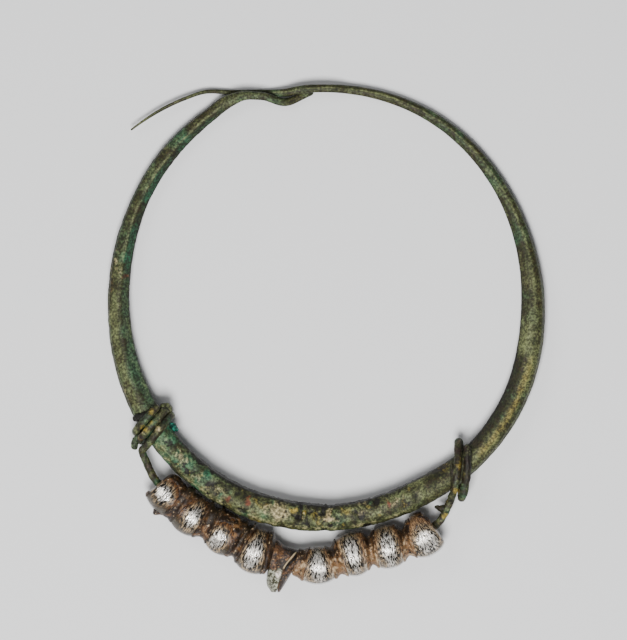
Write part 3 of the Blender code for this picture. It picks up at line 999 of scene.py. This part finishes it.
def right_winding():
    """Turns from where the wire comes from the beads to its tucked end."""
    turns = np.arange(45, 360 * RIGHT_TURNS - 224, 22.5)
    along = RIGHT_PITCH * ((turns - 90) / 360 - (RIGHT_TURNS - 1) / 2)
    inner = np.exp(-((turns - 180) / SLACK_SPREAD) ** 2)
    outer = np.exp(-((turns - 360) / SLACK_SPREAD) ** 2)
    slack = RIGHT_INNER_SLACK * inner + RIGHT_OUTER_SLACK * outer
    return winding(RIGHT_WRAP_ANGLE, turns, along, RIGHT_LEAN, slack, 1)


def wire_route():
    """Whole wire: left winding, stem, string, stem and right winding."""
    left, left_out = left_winding()
    right, right_out = right_winding()
    string_angles = np.linspace(LEFT_LEAVING[0], RIGHT_LEAVING[0], 44)
    string = string_point(string_angles)
    string_out = outward_at(string_angles)
    points = np.concatenate([left, string, right])
    outward = np.concatenate([left_out, string_out, right_out])
    travel = travel_along(points)
    wanted = np.arange(0, travel[-1], WIRE_STEP)
    route = np.stack([smooth_through(wanted, travel, points[:, k]) for k in range(3)], axis=1)
    hints = np.stack([np.interp(wanted, travel, outward[:, k]) for k in range(3)], axis=1)
    return route, unit(hints), wanted


def wire_surface():
    """Round wire, roughened by noise, more so where it is wound, its ends drawn in.

    r(s) = d / 2 sqrt(1 - (1 - s / r)^2) over the last r of each end.
    """
    route, outward, travel = wire_route()
    across, up = frames_along(route, outward)
    radius = WIRE_DIAMETER / 2
    ends = np.minimum(travel, travel[-1] - travel) / radius
    rounding = np.sqrt(np.clip(1 - (1 - np.clip(ends, 0, 1)) ** 2, 0.02, 1))[:, None]
    ring = spokes(angles_round(WIRE_SIDES), across, up)
    rest = route[:, None, :] + radius * rounding[..., None] * ring
    wound = np.maximum(between(30 * MM - travel, 0, 5 * MM), between(travel / travel[-1], 0.86, 0.9))
    bumps = (0.08 + 0.06 * wound[:, None]) * rough(rest, 0.9 * MM, 2, 71)
    bumps = (bumps + 0.06 * rough(rest, 0.35 * MM, 2, 73) - 0.01) * rounding * MM
    points = rest + bumps[..., None] * ring
    shade = spots(rest, WIRE_DARK_SPOTS, 0.3)
    rust = 0.25 * between(rough(rest, 0.8 * MM, 2, 81), 0.3, 0.6)
    gold = 0.35 * between(rough(rest, 0.8 * MM, 3, 83), 0.25, 0.5)
    marks = {
        "pale": 0.28 + 0.6 * rough(rest, 0.7 * MM, 3, 75) - 0.2 * shade,
        "green": 0.30 + 0.8 * rough(rest, 1.4 * MM, 3, 77) - 0.5 * shade,
        "dark": np.maximum(0.25 + 0.7 * rough(rest, 1.1 * MM, 3, 79), shade),
        "rust": np.maximum(rust, 0.35 * shade),
        # Gold and cream spots: painted highlights on the turns, the gold partly yellow metal
        "gold": np.maximum(gold, spots(rest, WIRE_GOLD_AND_HIGHLIGHT_SPOTS, 0.2)),
        "cream": spots(rest, WIRE_CREAM_HIGHLIGHT_SPOTS, 0.3),
    }
    return with_poles(points, end_middles(points), held(marks))


def strand_surface(places, radii, roughness, seed, tints):
    """Tube through given places, its radius r(t) sqrt(1 - (2 t - 1)^8), roughened."""
    places = np.array(places) * MM
    travel = travel_along(places)
    share = (1 - np.cos(np.linspace(0, np.pi, STRAND_RINGS))) / 2
    route = np.stack([smooth_through(share, travel / travel[-1], row) for row in places.T], axis=1)
    thick = np.interp(share, np.linspace(0, 1, len(radii)), radii) * MM
    thick = (thick * np.sqrt(np.clip(1 - (2 * share - 1) ** 8, 0.002, 1)))[:, None]
    across, up = frames_along(route, np.broadcast_to([0.0, 0.0, 1.0], route.shape))
    ring = spokes(angles_round(STRAND_SIDES), across, up)
    rest = route[:, None, :] + thick[..., None] * ring
    bumps = roughness * rough(rest, 0.5 * MM, 3, seed) * thick
    points = rest + bumps[..., None] * ring
    points, _ = with_poles(points, end_middles(points), {})
    return points, {name: np.full(len(points), tints.get(name, 0.0)) for name in MARKS}


def string_frame(angles):
    """Middle, across and up directions of the string."""
    middle = string_point(angles)
    along = unit(string_point(angles + 0.1) - string_point(angles - 0.1))
    return middle, *square_to(along, outward_at(angles))


def bead_span(index):
    """Angles of a bead's two ends, halfway to its neighbours less half a gap."""
    pitches = [pitch for _, pitch, _ in BEAD_ROW]
    before = pitches[index - 1] if index else BEAD_BULGE_LENGTH
    after = pitches[index] if index < len(BEAD_ROW) - 1 else BEAD_BULGE_LENGTH
    lengths = np.array([-(before - BEAD_GAP) / 2, (after - BEAD_GAP) / 2])
    return BEAD_ANGLES[index] + np.degrees(lengths / BEAD_RADII[index])


# Joint between the broken bead and the one before it
JOINT_ANGLE = (bead_span(BROKEN_BEAD - 2)[1] + bead_span(BROKEN_BEAD - 1)[0]) / 2


def bulge(distances, radius, waist=BEAD_WAIST_DIAMETER / 2):
    """w + (r - w) sqrt(1 - (2 d / length)^2)."""
    share = np.clip(1 - (2 * distances / BEAD_BULGE_LENGTH) ** 2, 0, 1)
    return waist + (radius - waist) * np.sqrt(share)


def silver_share(index, along, out):
    """1 - ((u - u0) / w)^2 - ((v - v0) / l)^2: above 0 inside the bead's bare silver."""
    middle_along, middle_out, half_width, half_length = SILVER_ZONES[index]
    return 1 - ((along - middle_along) / half_width) ** 2 - ((out - middle_out) / half_length) ** 2


def from_middle(index, angles):
    """Distance along the row from a bead's middle."""
    return np.radians(angles - BEAD_ANGLES[index]) * BEAD_RADII[index]


def ring_places(index, rings):
    """Angles of a bead's rings, closest at its ends, and their distances from its middle."""
    start, end = bead_span(index)
    spread = (1 + np.sin(np.linspace(-np.pi / 2, np.pi / 2, rings))) / 2
    angles = start + (end - start) * spread
    return angles, from_middle(index, angles)


def closing(distances, reach):
    """sqrt(e / reach), held to 1, with e the distance to the bead's nearer end."""
    to_end = np.minimum(distances - distances[0], distances[-1] - distances)
    return np.sqrt(np.clip(to_end / reach, 0.03, 1))


def bead_surface(index, shrink, waist_shrink, roughness, seed):
    """Closed lump round the string: bulge(d, r shrink), its ends drawn in to the wire."""
    diameter = BEAD_ROW[index][0]
    angles, distances = ring_places(index, GLASS_RINGS)
    radii = bulge(distances, diameter / 2 * shrink, BEAD_WAIST_DIAMETER / 2 * waist_shrink)
    radii = (radii * closing(distances, 0.3 * MM))[:, None]
    middle, across, up = string_frame(angles)
    turned = angles_round(GLASS_SIDES)
    ring = spokes(turned, across, up)
    rest = middle[:, None, :] + radii[..., None] * ring
    points = rest + (roughness * rough(rest, 1.3 * MM, 3, seed))[..., None] * ring
    along = distances[:, None] / MM
    out = np.cos(turned) * radii / MM
    ragged = 0.35 * rough(rest, 1.1 * MM, 3, seed + 5)
    marks = {
        "around": (turned + 1.5 * np.pi) % (2 * np.pi) * diameter / 2 / MM,
        "along": along + 7.0 * index,
        "outward": out,
        "silver": silver_share(index, along, out) + ragged,
        "light": float(index >= BROKEN_BEAD),
    }
    return with_poles(points, middle[[0, -1]], marks)


def foil_material():
    """Silver foil worn to black in strokes that run round the bead, brown outside its zone; towards the
    zone's edge it turns warm brown, partly tarnish and partly painted shade.
    """
    material, tree, shader = new_material("silver_foil")
    names = ("around", "along", "outward", "silver", "light")
    around, along, outward, zone, light = (mark(tree, name) for name in names)
    place = add(tree, "ShaderNodeCombineXYZ", {0: around, 1: along * 4.2})
    strokes = grain(place, 1.45, 3, 0.62, 0.6)
    ripples = grain(place, 3.6, 2)
    areas = grain(place, 0.35, 1)
    worn = strokes + (areas - 0.5) * 0.16 - zone.ramp(0.1, 1.0) * 0.055
    stirred = zone + (ripples - 0.5) * 1.6
    silver = ripples.ramp(0.42, 0.62).mix((1.0, 0.97, 0.92), (0.62, 0.55, 0.46))
    # Warm brown towards the silver zone's edge: partly tarnish, partly painted shade where the foil's
    # sheen falls off
    margin_tarnish_and_shade = ripples.ramp(0.40, 0.60).mix((0.52, 0.38, 0.22), (0.17, 0.11, 0.055))
    silver = stirred.ramp(-0.10, 0.50).mix(margin_tarnish_and_shade, silver)
    silver = worn.ramp(0.465, 0.500).mix(silver, (0.014, 0.012, 0.010))
    patches = strokes.ramp(0.40, 0.56)
    brown = patches.mix((0.170, 0.080, 0.030), (0.024, 0.011, 0.005))
    tan = patches.mix((0.38, 0.225, 0.110), (0.070, 0.034, 0.014))
    smoky = ripples.ramp(0.35, 0.65).mix((0.016, 0.012, 0.007), (0.075, 0.056, 0.032))
    cream = strokes.ramp(0.44, 0.54).mix((0.56, 0.49, 0.39), (0.11, 0.085, 0.060))
    bare = outward.ramp(0.4, 1.8).mix(light.mix(brown, tan), light.mix(smoky, cream))
    connect(shader, {
        "Base Color": stirred.ramp(-1.30, -0.30).mix(bare, silver),
        "Normal": bumped(worn * -1.0 + ripples * 0.5, 0.0001, 0.9),
        "Metallic": zone.ramp(-0.30, 0.15) * 0.85,
        "Roughness": 0.30,
    })
    return material


def glass_material():
    """Clear, slightly warm glass."""
    material, _, shader = new_material("clear_glass")
    connect(shader, {
        "Base Color": (1.0, 0.985, 0.95, 1),
        "Metallic": 0.0,
        "Roughness": 0.06,
        "IOR": 1.5,
        "Transmission Weight": 1.0,
        "Alpha": 0.25,
    })
    return material


def crust_material():
    """Brown burial crust on the glass, darker by its tone mark and sandy by its light mark, its palest
    flecks partly painted sparkle highlights.
    """
    material, tree, shader = new_material("brown_crust")
    where = object_place(tree)
    broad = grain(where, 1300, 4)
    fine = grain(where, 2600, 3, 0.7)
    speckle = (fine - 0.5) * 3.0
    colour = broad.ramp(0.36, 0.44).mix((0.190, 0.098, 0.038), (0.062, 0.028, 0.011))
    colour = broad.ramp(0.45, 0.53).mix(colour, (0.014, 0.007, 0.004))
    colour = (mark(tree, "tone") + speckle).ramp(0.25, 0.85).mix(colour, (0.016, 0.010, 0.005))
    colour = fine.ramp(0.47, 0.38).mix(colour, (0.012, 0.007, 0.003))
    sandy = broad.ramp(0.40, 0.50).mix((0.44, 0.320, 0.190), (0.150, 0.078, 0.032))
    sandy = fine.ramp(0.46, 0.37).mix(sandy, (0.030, 0.016, 0.007))
    colour = (mark(tree, "light") + speckle).ramp(0.30, 0.80).mix(colour, sandy)
    # The palest flecks of the fine grain: partly pale grains, partly painted sparkle highlights
    connect(shader, {
        "Base Color": fine.ramp(0.610, 0.670).mix(colour, (0.44, 0.320, 0.190)),
        "Normal": bumped(fine, 0.0002),
        "Roughness": 0.38,
        "Specular IOR Level": 0.30,
    })
    return material


def glass_radius(angles):
    """Outside radius of whichever bead is at each angle, and the distance from its middle."""
    best = np.full_like(angles, BEAD_WAIST_DIAMETER / 2)
    offset = np.full_like(angles, 10 * MM)
    for index in range(len(BEAD_ROW)):
        distances = from_middle(index, angles)
        if index + 1 != BROKEN_BEAD:
            best = np.maximum(best, bulge(distances, BEAD_ROW[index][0] / 2))
        offset = np.where(np.abs(distances) < np.abs(offset), distances, offset)
    return best, offset


def bare_silver(angles, out):
    """Largest silver_share of any bead, and at least -9."""
    shares = [silver_share(index, from_middle(index, angles) / MM, out / MM)
              for index in range(len(BEAD_ROW))]
    return np.maximum(np.max(shares, axis=0), -9.0)


def on_left_beads(angles):
    """1 on the beads left of the broken one, 0 right of it."""
    return between(-angles, 96, 100)


def crust_cover(angles, turned, waist, bare, rest):
    """How surely crust lies at each place: it does where this is above 0.

    c0 + c1 |d| + c2 (-cos f) + noise, with d the distance from the bead's middle and f
    the angle round it; more on the left half, in the waists, on the lug and at the joint
    before the broken bead, less on bare silver, at the snapped edge and at the row's ends.
    """
    hoopward = -np.cos(turned)
    left_half = on_left_beads(angles)
    edges = 0.50 * rough(rest, 1.6 * MM, 3, 101)
    edges += (0.22 + 0.20 * hoopward) * rough(rest, 0.45 * MM, 2, 103)
    cover = -0.62 + 0.55 * waist + (0.25 + 0.35 * left_half) * hoopward + 0.25 * left_half
    cover += edges - 1.5 * between(bare, -2.6, -0.3)
    cover += 1.5 * lug_shape(angles, turned) + 1.7 * between(waist, 1.35, 1.80)
    broken = BROKEN_BEAD - 1
    snap = BEAD_ANGLES[broken] + np.degrees(1.0 * MM / BEAD_RADII[broken])
    cover += 0.9 * hump(angles, JOINT_ANGLE, 1.3) - 2.0 * hump(angles, snap, 1.5)
    to_end = np.minimum(angles - angles[0], angles[-1] - angles)
    return cover - 1.5 * (1 - between(to_end, 0.0, 0.5))


def lug_shape(angles, turned):
    """Round bump on the first bead's outer side."""
    return hump(angles, LUG_ANGLE, 1.1) * hump(np.minimum(turned, 2 * np.pi - turned), 0, 0.20)


def crust_filling(angles, turned, waist):
    """Height in mm of the crust in the waists, most at the joint and, by the hoop, on the left."""
    hoopward = -np.cos(turned)
    inside = between(angles, BEAD_ANGLES[0], BEAD_ANGLES[0] + 2)
    inside = inside * between(-angles, -BEAD_ANGLES[3], 3 - BEAD_ANGLES[3])
    filling = between(waist, 1.1, 1.9) * (0.10 + 0.75 * inside * between(hoopward, 0.1, 0.9))
    joint = 0.50 * hump(angles, JOINT_ANGLE, 1.0) * (1 - 0.8 * between(-hoopward, 0.5, 0.9))
    return filling + joint


def skin_faces(cell):
    """Quads over the wanted cells, the same underneath, and walls where a cell has no neighbour.

    The points are one outer and one inner grid; the second direction runs round.
    """
    rings, sides = cell.shape[0] + 1, cell.shape[1]
    under = rings * sides
    corner = cell_corners(rings, sides)
    top = corner[:, cell].T
    bottom = (top + under)[:, ::-1]
    empty = np.pad(~cell, ((1, 1), (0, 0)), constant_values=True)
    walls = []
    edges = ((empty[:-2], 0, 1), (empty[2:], 2, 3),
             (np.roll(~cell, 1, 1), 3, 0), (np.roll(~cell, -1, 1), 1, 2))
    for open_side, a, b in edges:
        first, second = (corner[k][cell & open_side] for k in (a, b))
        walls.append(np.stack([second, first, first + under, second + under], axis=-1))
    return np.concatenate([top, bottom, *walls])


def crust_surface():
    """Skin on the glass wherever the crust's cover is above 0, closed underneath.

    Its height is (0.1 mm + filling + lumps) p + lug s + (level - glass) p, with s the
    cover eased from 0 to 1, p the same but thinned on the outer sides of the beads, and
    level the glass's radius evened out over neighbouring rings, where that is higher.
    """
    angles = np.linspace(bead_span(0)[0], bead_span(len(BEAD_ROW) - 1)[1], CRUST_RINGS)
    glass, offset = (row[:, None] for row in glass_radius(angles))
    middle, across, up = string_frame(angles)
    turned = angles_round(CRUST_SIDES)[None, :]
    ring = spokes(turned, across, up)
    rest = middle[:, None, :] + glass[..., None] * ring
    angles = angles[:, None]
    waist = np.abs(offset) / MM
    outward = np.cos(turned)
    bare = bare_silver(angles, glass * outward)
    cover = crust_cover(angles, turned, waist, bare, rest)
    lumps = 0.06 * rough(rest, 0.9 * MM, 3, 107) + 0.05 * rough(rest, 0.3 * MM, 2, 109)
    sure = between(cover, 0.0, 0.9)
    present = sure * (1 - between(outward, 0.1, 0.7) * (1 - between(waist, 1.40, 1.90)))
    height = (0.10 + crust_filling(angles, turned, waist) + lumps) * present * MM
    height += LUG_REACH * lug_shape(angles, turned) * sure
    travel = np.radians(angles - angles[0]) * BEAD_RADII[0]
    inside = between(np.minimum(travel, travel[-1] - travel), 0.0, 0.5 * MM)
    padded = np.pad(glass[:, 0], LEVEL_WINDOW // 2, mode="edge")
    level = np.convolve(padded, np.ones(LEVEL_WINDOW) / LEVEL_WINDOW, mode="valid")[:, None]
    height = np.maximum(height * inside, 0.008 * MM) + np.maximum(level - glass, 0) * inside * present
    outer = rest + height[..., None] * ring
    inner = rest - SKIN_DEPTH * ring
    wanted = (cover > 0) & np.roll(cover > 0, -1, 1)
    faces = skin_faces(wanted[:-1] & wanted[1:])
    used, renumbered = np.unique(faces, return_inverse=True)
    left_half = on_left_beads(angles)
    tone = np.clip(0.1 + 0.5 * (waist - 1.4) - 0.45 * outward * (0.4 + left_half), 0, 1)
    light = (1 - left_half) * (0.30 + 0.45 * between(waist, 0.9, 1.7)) * between(outward, -0.75, 0.15)
    points = np.concatenate([outer.reshape(-1, 3), inner.reshape(-1, 3)])
    marks = {name: np.tile(values.ravel(), 2)[used] for name, values in (("tone", tone), ("light", light))}
    return points[used], renumbered.reshape(-1, 4).tolist(), marks


def broken_surface():
    """Core, shoulder and shard of the solid, with the snapped rim and the split shard.

    c = w + shoulder s(-d / length) + rim - gap; outside = c + (reach - c)
    sqrt(1 - (2 (d + back) / length)^2) cos^n f lobes.
    """
    angles, distances = ring_places(BROKEN_BEAD - 1, BROKEN_RINGS)
    narrowing = closing(distances, 0.2 * MM)[:, None]
    turned = angles_round(BROKEN_SIDES)[None, :]
    distances = distances[:, None]
    along = distances / MM
    broken_side = between(np.cos(turned + 0.9), -0.2, 0.3)
    snap = 0.81 - 0.76 * np.cos(turned)
    rim = 0.28 * hump(along, snap, 0.14) * broken_side
    gap = 0.40 * hump(along, snap + 0.42, 0.26) * broken_side
    core = BEAD_WAIST_DIAMETER / 2 + SHOULDER_RISE * smooth_step(-distances / SHOULDER_LENGTH)
    core = core + (rim - gap) * MM
    share = np.clip(1 - (2 * (distances + SHARD_SET_BACK) / SHARD_LENGTH) ** 2, 0, 1)
    facing = np.clip(np.cos(turned), 0, 1) ** SHARD_NARROWNESS
    lobes = 1 - 0.16 * hump(along, 0.30, 0.10) - 0.12 * hump(along, -1.0, 0.3)
    lobes = lobes * flat_hump(along, -0.15, 1.65)
    radii = core + (SHARD_REACH - core) * np.minimum(np.sqrt(share) * 1.2, 1) * facing * lobes
    radii = radii * narrowing
    middle, across, up = string_frame(angles)
    ring = spokes(turned, across, up)
    rest = middle[:, None, :] + radii[..., None] * ring
    bumps = 0.13 * rough(rest, 0.8 * MM, 3, 111) + 0.06 * rough(rest, 0.3 * MM, 2, 113) - 0.06
    points = rest + bumps[..., None] * MM * ring
    reach = radii / MM
    silver = 0.85 * between(reach, 2.5, 2.9) * between(-along, -0.30, -0.15)
    # A painted highlight where the shard joins the core, added to the silver mark
    painted_glint = hump(along, -0.1, 0.42) * hump(reach, 2.75, 0.40) * between(facing, 0.1, 0.3)
    on_core = broken_side * (1 - between(reach, 2.2, 2.5))
    # Painted shade on the hoop side of the bead's back half
    back = 0.6 * between(-np.cos(turned), -0.2, 0.6) * between(along, -0.9, 0.2)
    marks = {
        "silver": silver + 1.5 * painted_glint,
        # The snapped edge is pale: partly the broken glass's own pallor, partly painted highlight
        "snapped": hump(along, snap, 0.13) * on_core,
        # Painted shadow in the recess behind the snapped edge, and the painted shade on the hoop side
        "painted_shadow": np.maximum(hump(along, snap + 0.40, 0.24) * on_core, back),
    }
    return with_poles(points, middle[[0, -1]], marks)


def broken_material():
    """Brown crust on the core, worn silver on the shard with a painted highlight at its join, a pale
    snapped edge that is partly painted highlight, and painted shadow in the recess behind that edge and on
    the hoop side.
    """
    material, tree, shader = new_material("broken_glass")
    where = object_place(tree)
    broad = grain(where, 700, 4)
    fine = grain(where, 3000, 3, 0.7)
    silver = mark(tree, "silver")
    crust = broad.ramp(0.36, 0.50).mix((0.100, 0.045, 0.018), (0.018, 0.010, 0.006))
    crust = fine.ramp(0.48, 0.38).mix(crust, (0.014, 0.007, 0.003))
    crust = fine.ramp(0.58, 0.66).mix(crust, (0.36, 0.20, 0.08))
    foil = fine.ramp(0.44, 0.56).mix((0.34, 0.34, 0.26), (0.035, 0.032, 0.016))
    # Above 0.95 the silver mark holds the painted highlight, a pale colour
    bright = fine.ramp(0.40, 0.55).mix((0.25, 0.20, 0.14), (0.80, 0.74, 0.64))
    foil = silver.ramp(0.95, 1.3).mix(foil, bright)
    colour = silver.ramp(0.2, 0.7).mix(crust, foil)
    # Near black where the painted shadow lies
    colour = mark(tree, "painted_shadow").ramp(0.3, 0.8).mix(colour, (0.006, 0.004, 0.003))
    connect(shader, {
        # Pale where the snapped edge is, partly painted highlight
        "Base Color": mark(tree, "snapped").ramp(0.3, 0.8).mix(colour, (0.42, 0.33, 0.19)),
        "Normal": bumped(fine, 0.00025),
        "Metallic": silver * 0.7,
        "Roughness": 0.35,
    })
    return material


def make_tube(name, surface, sides, material, node=None, marked=True):
    """Piece from the points and marks of a tube with two poles."""
    points, marks = surface
    cells = ring_cells((len(points) - 2) // sides, sides)
    make_piece(name, points, cells, material, marks if marked else None, node)


def build():
    """Make every piece of the earring."""
    group = patina_group()
    bronze = bronze_material("hoop_bronze", group)
    wire = bronze_material("wire_bronze", group,
                           Base=(0.026, 0.029, 0.009), Brown=(0.026, 0.013, 0.010))
    make_tube("hoop_bar", hoop_surface(), HOOP_SIDES, bronze, "hoop")
    make_tube("wound_wire", wire_surface(), WIRE_SIDES, wire, "bead_wire")
    for number, (name, places, radii, roughness, tints) in enumerate(STRANDS):
        strand = strand_surface(places, radii, roughness, 201 + number, tints)
        make_tube(name, strand, STRAND_SIDES, wire)
    make_tube("teal_crystals", strand_surface(*CRYSTAL, 0.5, 231, {}), STRAND_SIDES,
              crystal_material(), marked=False)
    foil = foil_material()
    glass = glass_material()
    for index in range(len(BEAD_ROW)):
        if index + 1 == BROKEN_BEAD:
            continue
        shell = bead_surface(index, GLASS_SHARE, GLASS_WAIST_SHARE, GLASS_UNEVENNESS, 121 + index)
        make_tube(f"glass_{index + 1}", shell, GLASS_SIDES, glass, f"bead_{index + 1}", False)
        share = LEFT_FOIL_SHARE if index < BROKEN_BEAD else RIGHT_FOIL_SHARE
        lining = bead_surface(index, share, FOIL_WAIST_SHARE, FOIL_UNEVENNESS, 141 + index)
        make_tube(f"foil_{index + 1}", lining, GLASS_SIDES, foil)
    make_tube("broken_bead", broken_surface(), BROKEN_SIDES, broken_material(),
              f"bead_{BROKEN_BEAD}")
    points, faces, marks = crust_surface()
    make_piece("bead_crust", points, faces, crust_material(), marks)


def area_light(name, place, size, power):
    """Square soft light aimed at the earring's middle."""
    light = bpy.data.lights.new(name, "AREA")
    light.shape = "SQUARE"
    light.size = size
    light.energy = power
    holder = bpy.data.objects.new(name, light)
    holder.location = place
    holder.rotation_mode = "QUATERNION"
    holder.rotation_quaternion = Vector(place).to_track_quat("Z", "Y")
    bpy.context.scene.collection.objects.link(holder)


def make_stage():
    """Pale floor, soft studio lights and a camera that looks straight down."""
    mesh = bpy.data.meshes.new("floor")
    corners = [(x * FLOOR_REACH, y * FLOOR_REACH, 0) for x, y in ((-1, -1), (1, -1), (1, 1), (-1, 1))]
    mesh.from_pydata(corners, [], [(0, 1, 2, 3)])
    floor = bpy.data.objects.new("floor", mesh)
    bpy.context.scene.collection.objects.link(floor)
    material, _, shader = new_material("pale_floor")
    connect(shader, {"Base Color": (0.70, 0.70, 0.70, 1), "Roughness": 0.9, "Specular IOR Level": 0.2})
    mesh.materials.append(material)
    floor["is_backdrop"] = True
    area_light("key", (-0.04, -0.19, 0.47), 0.18, 5.0)
    area_light("fill", (-0.32, 0.24, 0.45), 0.30, 0.9)
    world = bpy.data.worlds.new("studio")
    world.use_nodes = True
    connect(world.node_tree.nodes["Background"], {"Color": (0.85, 0.88, 0.92, 1), "Strength": 0.22})
    bpy.context.scene.world = world
    data = bpy.data.cameras.new("camera")
    data.sensor_width = SENSOR_WIDTH
    data.sensor_height = SENSOR_WIDTH
    data.lens = SENSOR_WIDTH * (CAMERA_HEIGHT - MIDDLE_HEIGHT) / VIEW_WIDTH
    data.clip_start = 0.05
    data.clip_end = 20
    camera = bpy.data.objects.new("camera", data)
    camera.location = (CENTRE[0] + VIEW_OFFSET[0], CENTRE[1] + VIEW_OFFSET[1], CAMERA_HEIGHT)
    bpy.context.scene.collection.objects.link(camera)
    bpy.context.scene.camera = camera


build()
make_stage()
